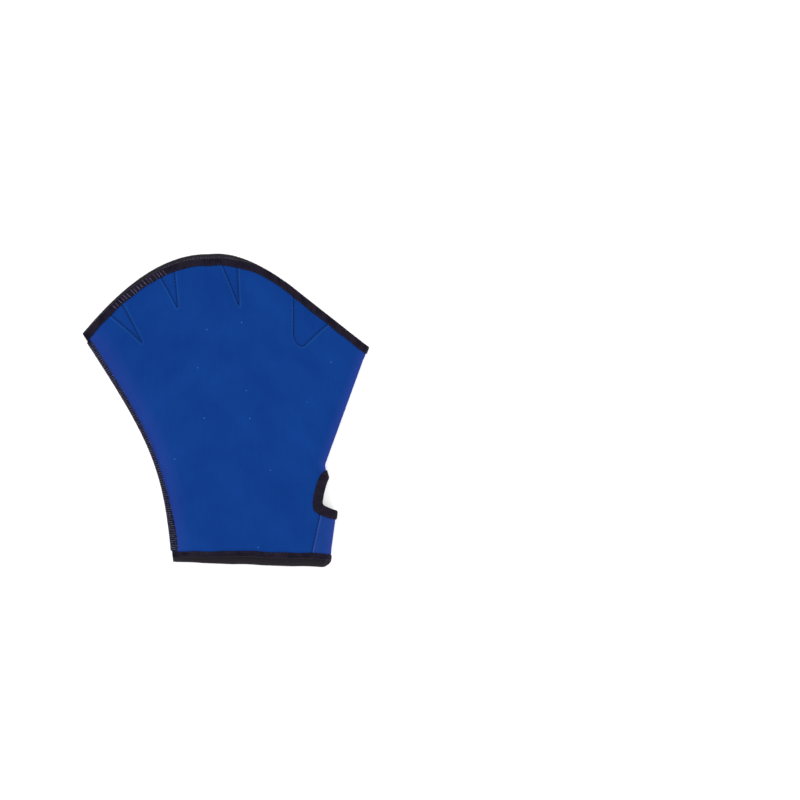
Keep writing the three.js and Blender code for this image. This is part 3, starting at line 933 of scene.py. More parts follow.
def wall_piece(name, outer, inner, flat, closed=False, sharp_angle=CLOTH_SHARP):
    """Closed wall between two grids, which are open or closed along their first direction."""
    rows, columns = outer.shape[:2]
    size = rows * columns
    points = np.concatenate([outer.reshape(-1, 3), inner.reshape(-1, 3)])

    def at(grid, i, k):
        return grid * size + (i % rows) * columns + k

    faces = []
    last = rows if closed else rows - 1
    end = columns - 1
    for i in range(last):
        for k in range(end):
            faces.append((at(0, i, k), at(0, i, k + 1), at(0, i + 1, k + 1), at(0, i + 1, k)))
            faces.append((at(1, i, k), at(1, i + 1, k), at(1, i + 1, k + 1), at(1, i, k + 1)))
        faces.append((at(0, i, 0), at(0, i + 1, 0), at(1, i + 1, 0), at(1, i, 0)))
        faces.append((at(0, i, end), at(1, i, end), at(1, i + 1, end), at(0, i + 1, end)))
    if not closed:
        for k in range(end):
            faces.append((at(0, 0, k), at(1, 0, k), at(1, 0, k + 1), at(0, 0, k + 1)))
            faces.append((at(0, last, k), at(0, last, k + 1), at(1, last, k + 1), at(1, last, k)))
    if signed_volume(points, faces) < 0:
        faces = [face[::-1] for face in faces]
    piece = new_piece(name, points, faces, sharp_angle)
    set_uv(piece, np.concatenate([flat.reshape(-1, 2), flat.reshape(-1, 2)]))
    return piece


def flat_grid(along_piece, across_piece):
    """Flat places of a grid from its distances along and its distances across."""
    return np.stack(np.broadcast_arrays(along_piece[:, None], across_piece[None, :]), axis=-1)


# %% Webs
WEB_STEP = 0.8
WEB_LEVELS = 9
WEB_BOW = 0.35
WEB_SINK = 0.02
WEB_UV_HEIGHT = 8
WEB_TAPE_GAP = WEB_WALL / 2 + 2 * CLEARANCE


def web_piece(number, web):
    line = leg_points(web, WEB_STEP, WEB_TAPE_GAP)
    ahead = np.gradient(line * leg_scale, axis=0)
    ahead /= np.linalg.norm(ahead, axis=1, keepdims=True)
    level = np.linspace(0, 1, WEB_LEVELS)[None, :, None]
    aside = np.stack([ahead[:, 1], ahead[:, 0], 0 * ahead[:, 0]], axis=1)[:, None, :]
    bow = aside * WEB_BOW * np.sin(level * math.pi)
    grids = []
    for side in (0.5, -0.5):
        shift = side * WEB_WALL * np.stack([ahead[:, 1] / leg_scale[0], -ahead[:, 0]], axis=1)
        top = off_face(*leg_places(line + shift), -1, WEB_SINK)
        bottom = off_face(*leg_places(line + shift, front=False), -1, WEB_SINK)
        grids.append(mix(bottom[:, None], top[:, None], level) + bow)
    flat = flat_grid(np.arange(len(line)) * WEB_STEP, np.linspace(0, WEB_UV_HEIGHT, WEB_LEVELS))
    return wall_piece(f"web_{number}", *grids, flat)


webs = [web_piece(n + 1, web) for n, web in enumerate(WEBS)]
print("webs:", [len(web.data.polygons) for web in webs])

# %% [markdown]
# The binding is a soft tape folded over the raw edge and sewn through. Its section is written once:
# a row of distances in from the edge and heights off the cloth, round over the edge and the same
# again underneath. The stitches pull it in, so its top dips and its free edge is slightly scalloped.

# %% Section of a folded tape
TAPE_TOP = 0.84
TAPE_ROUND = 0.76
TAPE_ROUND_TOP = TAPE_TOP - 0.02
TAPE_FOOT = 0.04
TAPE_SHARES = (0, 0.0, 0.05, 0.16, 0.26, 0.4, 0.6, 0.8, 0.95)
TAPE_HEIGHTS = (TAPE_FOOT + 0.02, 0.4, 0.66, 0.8, 0.82, TAPE_TOP, TAPE_TOP, TAPE_TOP, 0.82)
STITCH_PITCH = 1.9
STITCH_INSET = 0.75
STITCH_DIP = 0.18
DIP_WIDTH = 0.45
WANDER = 0.12
WANDER_PITCH = 17
EDGE_STEPS = 9
ROUND_ENDS = (0.12, 0.88)
ROUND_REACH_POWER = 0.8
ROUND_HEIGHT_POWER = 0.7
print("the section has", 2 * len(TAPE_SHARES) + EDGE_STEPS, "places")


# %% Columns of a folded tape
def tape_shift(distance, inward, width, side, scallop):
    """How far stitches and a hand's unsteadiness move the tape's free edge in or out."""
    free = smooth(inward, width * 0.5, width)
    scalloped = scallop * np.sin(distance * 2 * math.pi / STITCH_PITCH) * free
    return scalloped + WANDER * np.sin(distance * 2 * math.pi / WANDER_PITCH + side) * free


def tape_dip(distance, inward, width):
    """How deep the stitches pull the tape's top down."""
    near = math.exp(-(((inward - width + STITCH_INSET) / DIP_WIDTH) ** 2))
    return STITCH_DIP * near * (0.5 + 0.5 * np.cos(distance * 2 * math.pi / STITCH_PITCH))


def tape_half(place, distance, width, side, scallop, outer):
    """Columns on one face of the cloth: from free edge to cloth's edge, and back on the other face."""
    columns = []
    for share, height in zip(TAPE_SHARES, TAPE_HEIGHTS):
        inward = width * (1 - share)
        gap = height - tape_dip(distance, inward, width) if outer else TAPE_FOOT + 0 * distance
        girth, up = place(inward + tape_shift(distance, inward, width, side, scallop))
        columns.append(off_face(girth, up, side, gap))
    return columns[::side]


def tape_round(place, distance, outer):
    """Columns over the cloth's edge, on a rounded arch from one face to the other."""
    reach, lift = (TAPE_ROUND, TAPE_ROUND_TOP) if outer else (TAPE_FOOT, TAPE_FOOT)
    columns = []
    for angle in np.linspace(*ROUND_ENDS, EDGE_STEPS) * math.pi:
        girth, up = place(-reach * math.sin(angle) ** ROUND_REACH_POWER + 0 * distance)
        half_wall = thickness(inward_at(girth, up), up) / 2
        turned = math.copysign(abs(math.cos(angle)) ** ROUND_HEIGHT_POWER, math.cos(angle))
        columns.append(off_middle(girth, up, (half_wall + lift) * turned))
    return columns


def tape_grids(widths, place, distance, scallop):
    """Outer and inner grid of a tape; place gives girth and share up for a distance in."""
    grids = []
    for outer in (True, False):
        over = tape_half(place, distance, widths[0], 1, scallop, outer)
        under = tape_half(place, distance, widths[1], -1, scallop, outer)
        grids.append(np.stack([*over, *tape_round(place, distance, outer), *under], axis=1))
    return grids


print("dip at a stitch, in millimetres:", float(tape_dip(0, TAPE_WIDTH - STITCH_INSET, TAPE_WIDTH)))

# %% [markdown]
# Each tape follows its own edge. The fan tape and the cuff tape run right round the glove, over
# both layers, and the thumb tape is a closed ring. Their UV maps hold the distance along and the
# distance across, which is below nought on the outer half and above it on the half inside.

# %% Ways along the edges
EDGE_SAMPLES = 4000
LEAST_STEPS = 8


def fan_place(turn):
    end, square = fan_end(turn), fan_square(pattern_across(turn, 1.0))
    return lambda inward: edge_place(turn, end - inward / square)


def cuff_place(turn):
    start, square = cuff_start(turn), cuff_square(pattern_across(turn, 0.0))
    return lambda inward: edge_place(turn, start + inward / square)


def edge_place(turn, up):
    return pattern_girth(turn, up), up


def thumb_place(turn):
    return lambda inward: thumb_edge(turn, inward)


def even_turns(place, first, last, step, closed=False):
    """Shares along an edge that are an even distance apart on the cloth, and those distances."""
    fine = np.linspace(first, last, EDGE_SAMPLES)
    travelled = travel(middle(*place(fine)(0 * fine)))
    count = max(LEAST_STEPS, round(travelled[-1] / step))
    distance = np.linspace(0, travelled[-1], count, endpoint=not closed)
    return np.interp(distance, travelled, fine), distance


print("places a centimetre apart on the fan edge:", len(even_turns(fan_place, -1, 1, 10)[0]))


# %% Tapes
TAPE_STEP = 0.4
TAPE_UV_ROUND = 1.5
FAN_WIDTHS = (TAPE_WIDTH, TAPE_WIDTH)
CUFF_WIDTHS = (CUFF_TAPE_WIDTH, CUFF_TAPE_INSIDE)
THUMB_WIDTHS = (THUMB_TAPE_WIDTH, THUMB_TAPE_WIDTH)
FAN_SCALLOP = 0.24
CUFF_SCALLOP = 0.08
THUMB_SCALLOP = 0.06


def tape_piece(name, widths, place, first, scallop, closed=False):
    turns, distance = even_turns(place, first, 1, TAPE_STEP, closed)
    outer, inner = tape_grids(widths, place(turns), distance, scallop)
    reach = widths[0] + TAPE_UV_ROUND
    flat = flat_grid(distance, np.linspace(-reach, reach, outer.shape[1]))
    return wall_piece(name, outer, inner, flat, closed, TAPE_SHARP), distance[-1]


fan_tape, fan_tape_length = tape_piece("fan_tape", FAN_WIDTHS, fan_place, -1, FAN_SCALLOP)
cuff_tape, cuff_tape_length = tape_piece("cuff_tape", CUFF_WIDTHS, cuff_place, -1, CUFF_SCALLOP)
thumb_tape, thumb_tape_length = tape_piece(
    "thumb_tape", THUMB_WIDTHS, thumb_place, 0, THUMB_SCALLOP, closed=True
)
print("tape lengths:", [round(x) for x in (fan_tape_length, cuff_tape_length, thumb_tape_length)])

# %% [markdown]
# One stitch is modelled: a small sphere, stretched along and pressed flat, with its ends
# drawn down into the cloth. It is then copied to every place where the needle came up.

# %% One stitch
STITCH_LENGTH = 1.1
STITCH_WIDTH = 0.36
STITCH_HEIGHT = 0.3
STITCH_DROOP = 0.25

bpy.ops.object.select_all(action="DESELECT")
bpy.ops.mesh.primitive_uv_sphere_add(segments=6, ring_count=6, radius=0.5)
stitch = bpy.context.object
bpy.ops.object.mode_set(mode="EDIT")
bpy.ops.mesh.select_all(action="SELECT")
bpy.ops.transform.rotate(value=math.pi / 2, orient_axis="Y", center_override=(0, 0, 0))
bpy.ops.transform.resize(value=(STITCH_LENGTH, STITCH_WIDTH, STITCH_HEIGHT), center_override=(0, 0, 0))
bpy.ops.object.mode_set(mode="OBJECT")
stitch_points = np.array([tuple(v.co) for v in stitch.data.vertices])
stitch_points[:, 2] -= STITCH_DROOP * stitch_points[:, 0] ** 2
stitch_faces = [tuple(face.vertices) for face in stitch.data.polygons]
bpy.data.objects.remove(stitch)
print("one stitch:", len(stitch_faces), "faces")

# %% [markdown]
# A row of stitches needs a centre, a direction and an upward side for each one. On the tapes the
# stitches follow each other at the pitch that the dips of the tape have.

# %% Rows of stitches
TURN_STEP = 0.0005
FAN_ROW_END = 0.995
CUFF_ROW_END = 0.99


def unit(vectors):
    return vectors / np.linalg.norm(vectors, axis=-1, keepdims=True)


def stitch_row(centres, ahead, up, length=1.0):
    """Points and faces of one stitch at each centre, lying along ahead with its back to up."""
    ahead = unit(ahead)
    side = unit(np.cross(up, ahead))
    rise = np.cross(ahead, side)
    local = stitch_points * np.array([length, 1, 1])
    points = centres[:, None] + np.einsum("pk,nkd->npd", local, np.stack([ahead, side, rise], axis=1))
    firsts = range(0, len(centres) * len(local), len(local))
    faces = [tuple(v + first for v in face) for first in firsts for face in stitch_faces]
    return points.reshape(-1, 3), faces


def joined(name, rows):
    """Several rows of points and faces as one piece."""
    points, faces = [], []
    first = 0
    for row_points, row_faces in rows:
        points.append(row_points)
        faces += [tuple(v + first for v in face) for face in row_faces]
        first += len(row_points)
    return new_piece(name, np.concatenate(points), faces, THREAD_SHARP)


def tape_stitches(name, widths, place, first, last, closed=False):
    turns, _ = even_turns(place, first, last, STITCH_PITCH, closed)
    rows = []
    for side, width in zip((1, -1), widths):
        inward = 0 * turns + width - STITCH_INSET
        ahead = off_face(*place(turns + TURN_STEP)(inward), side, TAPE_TOP)
        ahead = ahead - off_face(*place(turns - TURN_STEP)(inward), side, TAPE_TOP)
        girth, up = place(turns)(inward)
        centres = off_face(girth, up, side, TAPE_TOP - STITCH_DIP)
        rows.append(stitch_row(centres, ahead, outward(girth, up) * side))
    return joined(name, rows)


fan_stitches = tape_stitches("fan_stitches", FAN_WIDTHS, fan_place, -FAN_ROW_END, FAN_ROW_END)
cuff_stitches = tape_stitches("cuff_stitches", CUFF_WIDTHS, cuff_place, -CUFF_ROW_END, CUFF_ROW_END)
thumb_stitches = tape_stitches("thumb_stitches", THUMB_WIDTHS, thumb_place, 0, 1, closed=True)
print("tape stitches:", len(fan_stitches.data.polygons), "faces")

# %% [markdown]
# The webs and the gusset are sewn with blue thread that nearly vanishes in the groove. Each row
# lies at the bottom of its groove, with a gap between one stitch and the next.

# %% Stitches in the cloth
SEWN_PITCH = 2.3
SEWN_DEPTH = -0.3
SEWN_STRETCH = 1.1
AHEAD_STEP = 0.3
NEVER_NOUGHT = 1e-6


def sewn_row(line):
    """Stitches along a line of the pattern."""
    girth, up = from_pattern(fine_line(line))
    places = off_face(girth, up, 1, SEWN_DEPTH)
    travelled = travel(places)
    wanted = np.arange(SEWN_PITCH / 2, travelled[-1], SEWN_PITCH)
    centres = read_line(wanted, travelled, places)
    after = read_line(wanted + AHEAD_STEP, travelled, places)
    nearest = np.searchsorted(travelled, wanted)
    back = outward(girth[nearest], up[nearest])
    return stitch_row(centres, after - centres + NEVER_NOUGHT, back, SEWN_STRETCH)


web_stitches = joined("web_stitches", [sewn_row(line) for line in leg_lines])
gusset_stitches = joined("gusset_stitches", [sewn_row(line) for line in gusset_lines])
print("sewn stitches:", len(web_stitches.data.polygons) + len(gusset_stitches.data.polygons), "faces")

# %% [markdown]
# The little-finger side is overlocked: loops of thread wrap round both layers and a looper thread
# runs along the edge. A thread is a thin tube along a path, and every loop is one short path whose
# ends dive into the cloth. Near the cuff the loops reach further in, over a strip of dark tape.

# %% Threads
THREAD_SIDES = 6
ASKEW = np.array([0.31, 0.23, 0.92])


def tube(path, radius):
    """Points and faces of a round thread along a path."""
    ahead = unit(np.gradient(path, axis=0))
    side = unit(np.cross(ahead, ASKEW))
    rise = np.cross(ahead, side)
    angles = np.arange(THREAD_SIDES) * 2 * math.pi / THREAD_SIDES
    ring = np.cos(angles)[None, :, None] * side[:, None] + np.sin(angles)[None, :, None] * rise[:, None]
    points = (path[:, None] + ring * radius).reshape(-1, 3)
    faces = []
    for n in range(len(path) - 1):
        for k in range(THREAD_SIDES):
            a = n * THREAD_SIDES + k
            b = n * THREAD_SIDES + (k + 1) % THREAD_SIDES
            faces.append((a, b, b + THREAD_SIDES, a + THREAD_SIDES))
    faces.append(tuple(range(THREAD_SIDES))[::-1])
    faces.append(tuple(len(points) - THREAD_SIDES + k for k in range(THREAD_SIDES)))
    return points, faces


print("a short thread has", len(tube(np.eye(3), 0.1)[1]), "faces")

# %% [markdown]
# The edge of the seam has a front layer, a back layer and a round between them. Places by the seam
# are told by a share up the glove and a distance in, and places on the round by an angle.

# %% The overlocked edge
LOOP_PITCH = 1.25
LOOP_REACH = 2.0
CUFF_LOOP_REACH = 4.4
CUFF_LOOP_FROM = 50
CUFF_LOOP_FADE = 34
LOOP_RADIUS = 0.2
LOOP_TOP = 0.42
LOOP_EDGE = 0.66
SEAM_END_GAP = 0.1
SEAM_SAMPLES = 400


def loop_reach(up):
    from_cuff = up * seam_length
    free = smooth(from_cuff, CUFF_LOOP_FROM - CUFF_LOOP_FADE, CUFF_LOOP_FROM)
    return mix(CUFF_LOOP_REACH, LOOP_REACH, free)


def seam_place(side, up, inward, gap):
    """A place by the seam: side 1 on the front layer's face, -1 on the back layer's."""
    return off_face(seam_girth(side > 0, up, inward), up, 1, gap)


def seam_middle(up, inward):
    front = seam_place(1, up, inward, 0)
    back = seam_place(-1, up, inward, 0)
    return (front + back) / 2, (front - back) / 2


def round_edge(up, angle, reach, lift):
    """A place on the round of the seam's edge, from the front layer over the edge to the back."""
    centre, half = seam_middle(up, 0 * up)
    out = seam_middle(up, 0 * up - 1)[0] - centre
    grown = half + unit(half) * lift
    return centre + out * reach * np.sin(angle)[..., None] + grown * np.cos(angle)[..., None]


seam_low = STACK + CUFF_TAPE_WIDTH + CUFF_SETBACK * CUFF_SETBACK_AT_SEAM + SEAM_END_GAP
seam_high = STACK + TAPE_WIDTH + CROWN_SETBACK * CROWN_SETBACK_AT_SEAM + SEAM_END_GAP
seam_first = float(seam_low / cuff_square(0.0))
seam_last = float(1 - seam_high / fan_square(0.0))
seam_ups = np.linspace(seam_first, seam_last, SEAM_SAMPLES)
seam_run = travel(seam_middle(seam_ups, 0 * seam_ups)[0])


def seam_up(distance):
    return np.interp(distance, seam_run, seam_ups)


print("overlocked length in millimetres:", round(seam_run[-1], 1))

# %% [markdown]
# Under the loops lies a strip of dark tape, as a closed sheet. The loops then go over it one by one,
# each with its own slant and reach, and three looper threads swing along the edge between them.


# %% Strip under the loops
STRIP_SAMPLES = 260
STRIP_INSET = 0.35
STRIP_FACES = (0.3, 0.05)
STRIP_SHARES = (1, 0.75, 0.5, 0.25, 0.02)
STRIP_ROUND_STEPS = 7
STRIP_ROUND_REACH = 0.1
STRIP_UV_WIDTH = 8


def seam_strip():
    distance = np.linspace(0, seam_run[-1], STRIP_SAMPLES)
    up = seam_up(distance)
    reach = loop_reach(up) - STRIP_INSET
    grids = []
    for lift in STRIP_FACES:
        columns = [seam_place(1, up, reach * share, lift) for share in STRIP_SHARES]
        for angle in np.linspace(*ROUND_ENDS, STRIP_ROUND_STEPS) * math.pi:
            columns.append(round_edge(up, angle + 0 * up, lift + STRIP_ROUND_REACH, lift))
        columns += [seam_place(-1, up, reach * share, lift) for share in STRIP_SHARES[::-1]]
        grids.append(np.stack(columns, axis=1))
    flat = flat_grid(distance, np.linspace(0, STRIP_UV_WIDTH, grids[0].shape[1]))
    return wall_piece("seam_strip", *grids, flat, sharp_angle=TAPE_SHARP)


side_strip = seam_strip()
print("seam strip:", len(side_strip.data.polygons), "faces")


# %% Loops over the edge
LOOP_STEPS = 6
LOOP_EDGE_STEPS = 5
LOOP_EDGE_ENDS = (0.16, 0.84)
LOOP_FALL = np.array([-0.1, 0.3, 0.4, LOOP_TOP, LOOP_TOP, LOOP_TOP])
LOOP_REACH_RANGE = (0.86, 1.08)
LOOP_EDGE_RANGE = (0.8, 1.2)
LOOP_NEAR = 0.03
LOOP_SLANT_RANGE = (0.7, 1.3)
LOOP_FIRST = 0.4
LOOP_LAST = 1.4


def loop_path(start, slant):
    share = np.linspace(0, 1, LOOP_STEPS)
    front_up = seam_up(start + slant * share * 0.5)
    back_up = seam_up(start + slant * (0.5 + share * 0.5))
    reach = float(loop_reach(seam_up(start))) * chance.uniform(*LOOP_REACH_RANGE)
    front = seam_place(1, front_up, reach * mix(1, LOOP_NEAR, share), LOOP_FALL)
    edge_up = seam_up(start + slant * 0.5) + np.zeros(LOOP_EDGE_STEPS)
    angles = np.linspace(*LOOP_EDGE_ENDS, LOOP_EDGE_STEPS) * math.pi
    edge = round_edge(edge_up, angles, LOOP_EDGE * chance.uniform(*LOOP_EDGE_RANGE), LOOP_TOP)
    back = seam_place(-1, back_up, reach * mix(LOOP_NEAR, 1, share), LOOP_FALL[::-1])
    return np.concatenate([front, edge, back])


loop_starts = np.arange(LOOP_FIRST, seam_run[-1] - LOOP_LAST, LOOP_PITCH)
loops = [tube(loop_path(start, chance.uniform(*LOOP_SLANT_RANGE)), LOOP_RADIUS) for start in loop_starts]
print("loops on the seam:", len(loops))


# %% Threads along the edge
LOOPER_END = 0.2
LOOPER_LIFT = 0.06
LOOPER_SWING = 0.28
LOOPER_TURNS = (0.24, 0.5, 0.76)
LOOPER_RADIUS = LOOP_RADIUS * 0.85


def looper_path(angle):
    """Thread that runs along the edge and swings from loop to loop."""
    distance = np.arange(LOOPER_END, seam_run[-1] - LOOPER_END, LOOP_PITCH / 4)
    turned = angle + LOOPER_SWING * np.sin(distance * 2 * math.pi / LOOP_PITCH)
    return round_edge(seam_up(distance), turned, LOOP_EDGE, LOOP_TOP + LOOPER_LIFT)


loopers = [tube(looper_path(turn * math.pi), LOOPER_RADIUS) for turn in LOOPER_TURNS]
seam_threads = joined("seam_threads", loops + loopers)
print("threads of the seam:", len(seam_threads.data.polygons), "faces")

# %% [markdown]
# On the little-finger slope of the fan a lighter overlock thread shows through as slanted streaks
# across the tape, and towards the crown as fine ticks along the back layer's tape. They are short
# threads that follow the tape's own section, and their pale colour is partly painted highlight on
# the ridges of the wraps.

# %% Light threads on the fan tape
STREAK_PITCH = 1.75
STREAK_FROM = 0.13
STREAK_TO = 0.31
STREAK_LEAN = 0.35
STREAK_STARTS = (-0.3, 0.4)
STREAK_ENDS = (3.0, 3.8)
TICK_PITCH = 1.25
TICK_FROM = 0.3
TICK_TO = 0.74
TICK_LEAN = 0.5
TICK_STARTS = (0.7, 0.9)
TICK_ENDS = (1.8, 2.2)
LIGHT_RADIUS = 0.17
LIGHT_LIFT = np.array([-0.25, 0.02, 0.06, 0.06, 0.02, -0.25])
TURN_RANGE = (0.02, 1)
TURN_SAMPLES = 2000
TURN_SPREAD = 0.001
FAN_LEVEL = 0.95

fan_girth = abs(pattern_girth(1.0, FAN_LEVEL))


def turn_at(across, side):
    """Share round the pattern, on the front (1) or back (-1) layer, of a share across the fan edge."""
    fine = np.linspace(*TURN_RANGE, TURN_SAMPLES) * side
    return np.interp(-across, -pattern_across(fine, 1.0), fine)


def tape_thread(turn, lean, first, last, side):
    """Short thread over the fan tape, from one distance in to another, leaning towards the fold."""
    inward = np.linspace(first, last, len(LIGHT_LIFT))
    moved = turn - np.sign(turn) * lean * (inward - first) / fan_girth
    return tube(off_face(*fan_place(moved)(inward), side, TAPE_TOP + LIGHT_LIFT), LIGHT_RADIUS)


def thread_turns(first, last, pitch, side):
    start, end = turn_at(first, side), turn_at(last, side)
    count = round(abs(end - start) * fan_girth / pitch)
    return np.linspace(start, end, count) + chance.uniform(-TURN_SPREAD, TURN_SPREAD, count)


streaks = [
    tape_thread(turn, STREAK_LEAN, chance.uniform(*STREAK_STARTS), chance.uniform(*STREAK_ENDS), 1)
    for turn in thread_turns(STREAK_FROM, STREAK_TO, STREAK_PITCH, 1)
]
ticks = [
    tape_thread(turn, TICK_LEAN, chance.uniform(*TICK_STARTS), chance.uniform(*TICK_ENDS), -1)
    for turn in thread_turns(TICK_FROM, TICK_TO, TICK_PITCH, -1)
]
fan_streaks = joined("fan_streaks", streaks + ticks)
print("light threads:", len(streaks), "streaks and", len(ticks), "ticks")

# %% [markdown]
# Finishes. The neoprene is faced with a fine jersey knit: the bump has its wales and courses, and
# the colour wanders a little, with a few pale specks of lint. The tape is a near-black stretch knit
# with fine ribs, and the threads have a twist. All patterns read the pieces' own flat maps, in
# millimetres, so they stay on the cloth when the view moves.

# %% Helpers for materials
SHEEN_ROUGHNESS = 0.45
LEAST_SPECULAR = 0.06


def linear(*srgb):
    """A colour as the eye sees it, from 0 to 255, turned into the light that the render adds up."""
    values = np.array(srgb) / 255
    below = values / 12.92
    above = ((values + 0.055) / 1.055) ** 2.4
    return (*np.where(values <= 0.04045, below, above), 1)


def add_node(tree, kind, settings=None, **values):
    """A node with its settings and its unlinked values."""
    node = tree.nodes.new("ShaderNode" + kind)
    for name, value in (settings or {}).items():
        setattr(node, name, value)
    for name, value in values.items():
        node.inputs[name.replace("_", " ")].default_value = value
    return node


def new_material(name, roughness, sheen=0, sheen_tint=(1, 1, 1, 1), specular=LEAST_SPECULAR):
    material = bpy.data.materials.new(name)
    material.use_nodes = True
    shader = material.node_tree.nodes["Principled BSDF"]
    shader.inputs["Roughness"].default_value = roughness
    shader.inputs["Specular IOR Level"].default_value = specular
    shader.inputs["Sheen Weight"].default_value = sheen
    shader.inputs["Sheen Roughness"].default_value = SHEEN_ROUGHNESS
    shader.inputs["Sheen Tint"].default_value = sheen_tint
    return material, material.node_tree, shader


def band_scale(period):
    """Scale of a wave texture whose bands are this far apart."""
    return 2 * math.pi / (20 * period)


print("a mid grey in linear light:", round(float(linear(128, 128, 128)[0]), 3))

# %% [markdown]
# Five small steps come back in the finishes: a texture on a flat map, a colour that runs from low to
# high, a plain colour laid over another one by a factor, a bump, and a weighed sum.

# %% Steps that finishes share
def texture(tree, kind, place, settings=None, **values):
    node = add_node(tree, kind, settings, **values)
    tree.links.new(place, node.inputs["Vector"])
    return node


def two_tones(tree, value, low, high, low_at, high_at):
    ramp = add_node(tree, "ValToRGB")
    for element, position, color in zip(ramp.color_ramp.elements, (low_at, high_at), (low, high)):
        element.position, element.color = position, color
    tree.links.new(value, ramp.inputs["Fac"])
    return ramp.outputs["Color"]


def laid_over(tree, factor, under, color):
    mixed = add_node(tree, "Mix", {"data_type": "RGBA"})
    mixed.inputs["B"].default_value = color
    tree.links.new(factor, mixed.inputs["Factor"])
    tree.links.new(under, mixed.inputs["A"])
    return mixed.outputs["Result"]


def add_bump(tree, shader, height, strength, distance):
    bump = add_node(tree, "Bump", Strength=strength, Distance=distance)
    tree.links.new(height, bump.inputs["Height"])
    tree.links.new(bump.outputs["Normal"], shader.inputs["Normal"])


def weighed(tree, value, weight, rest):
    """A value times its weight, with the rest added."""
    total = add_node(tree, "Math", {"operation": "MULTIPLY_ADD"})
    total.inputs[1].default_value = weight
    tree.links.new(value, total.inputs[0])
    tree.links.new(rest, total.inputs[2])
    return total.outputs[0]


print("a band a millimetre wide has the scale", round(band_scale(1), 3))

# %% [markdown]
# The jersey's blue is the sum of soft clouds, a fine grain and long streaks up the glove. Lint is
# the small middle of widely spread cells. By the stitching a ramp over the signed distance paints
# a highlight on one side of the groove and shade in its bottom, and towards the sides a painted
# violet sheen is laid over the blue.

# %% Blue of the jersey
CLOUD_SCALE = 0.035
GRAIN_SCALE = 0.9
GRAIN_WEIGHT = 0.3
STREAK_SCALE = 0.7
STREAK_STRETCH = (1.4, 0.09, 1.0)
STREAK_WEIGHT = 0.25
BLUE_FROM = 0.45
BLUE_TO = 1.0
LINT_SCALE = 0.11
LINT_SIZE = 0.035


def jersey_blue(tree, place, low, high, speck):
    clouds = texture(tree, "TexNoise", place, Scale=CLOUD_SCALE, Detail=3.0, Roughness=0.55)
    grain = texture(tree, "TexNoise", place, Scale=GRAIN_SCALE, Detail=4.0, Roughness=0.7)
    stretch = texture(tree, "Mapping", place, Scale=STREAK_STRETCH)
    streak = texture(tree, "TexNoise", stretch.outputs["Vector"], Scale=STREAK_SCALE, Detail=2.0)
    blend = weighed(tree, grain.outputs["Fac"], GRAIN_WEIGHT, clouds.outputs["Fac"])
    total = weighed(tree, streak.outputs["Fac"], STREAK_WEIGHT, blend)
    blue = two_tones(tree, total, low, high, BLUE_FROM, BLUE_TO)
    lint = texture(tree, "TexVoronoi", place, Scale=LINT_SCALE, Randomness=1.0)
    small = add_node(tree, "Math", {"operation": "LESS_THAN"})
    small.inputs[1].default_value = LINT_SIZE
    tree.links.new(lint.outputs["Distance"], small.inputs[0])
    return laid_over(tree, small.outputs[0], blue, speck)


print("clouds are about", round(1 / CLOUD_SCALE), "mm wide, and streaks narrower")


# %% Painted light on the blue: by the stitching and towards the sides
PLAIN = (1, 1, 1, 1)
# Painted shade in the groove of a row of stitching and a painted highlight on one side of it, as factors
# on the blue.
PAINTED_GROOVE_SHADE = (0.55, 0.6, 0.6, 1)
PAINTED_HIGHLIGHT_SIDE = (2.8, 1.5, 1.16, 1)
PAINTED_ROW_LIGHT_REACH = 2.0
PLAIN_UNTIL = 0.14
PLAIN_FROM = 0.6
PAINTED_ROW_LIGHTS = (
    (0.23, PAINTED_HIGHLIGHT_SIDE),
    (0.31, PAINTED_HIGHLIGHT_SIDE),
    (0.42, PLAIN),
    (0.47, PAINTED_GROOVE_SHADE),
    (0.54, PAINTED_GROOVE_SHADE),
)
# A painted violet sheen towards the sides, where the cloth curves down to the seam and round the fold.
PAINTED_SHEEN_VIOLET = linear(48, 60, 150)
PAINTED_SHEEN_STRENGTH = 0.36
PAINTED_SHEEN_REACH = 15.0


def painted_row_light(tree, distance):
    """Painted highlight on one side of a row of stitching, painted shade in its groove and plain
    elsewhere.
    """
    share = add_node(tree, "MapRange", From_Min=PAINTED_ROW_LIGHT_REACH, From_Max=-PAINTED_ROW_LIGHT_REACH)
    tree.links.new(distance, share.inputs["Value"])
    shade = add_node(tree, "ValToRGB")
    elements = shade.color_ramp.elements
    elements[0].position, elements[0].color = PLAIN_UNTIL, PLAIN
    elements[1].position, elements[1].color = PLAIN_FROM, PLAIN
    for position, color in PAINTED_ROW_LIGHTS:
        elements.new(position).color = color
    tree.links.new(share.outputs["Result"], shade.inputs["Fac"])
    return shade.outputs["Color"]


# The blue with painted shade and highlight by the stitching and a painted violet sheen by the sides.
def blue_with_painted_light(tree, blue):
    row = add_node(tree, "UVMap", {"uv_map": "stitching"}).outputs["UV"]
    distances = texture(tree, "SeparateXYZ", row)
    shaded = add_node(tree, "Mix", {"data_type": "RGBA", "blend_type": "MULTIPLY"})
    shaded.inputs["Factor"].default_value = 1
    tree.links.new(blue, shaded.inputs["A"])
    tree.links.new(painted_row_light(tree, distances.outputs["X"]), shaded.inputs["B"])
    # Painted sheen: how much violet goes over the blue, by the distance from a side.
    painted_sheen = add_node(tree, "MapRange", {"interpolation_type": "SMOOTHSTEP"}, From_Min=0.0,
                       From_Max=PAINTED_SHEEN_REACH, To_Min=PAINTED_SHEEN_STRENGTH, To_Max=0.0)
    tree.links.new(distances.outputs["Y"], painted_sheen.inputs["Value"])
    return laid_over(tree, painted_sheen.outputs["Result"], shaded.outputs["Result"], PAINTED_SHEEN_VIOLET)


print("violet reaches", PAINTED_SHEEN_REACH, "mm in from a side")


# %% Neoprene faced with jersey
WALE = 0.62
COURSE = 0.5
JERSEY_WAVER = 0.4
JERSEY_BUMP = 0.00009
JERSEY_SHEEN = linear(130, 105, 235)
SPECK_BLUE = linear(60, 105, 185)


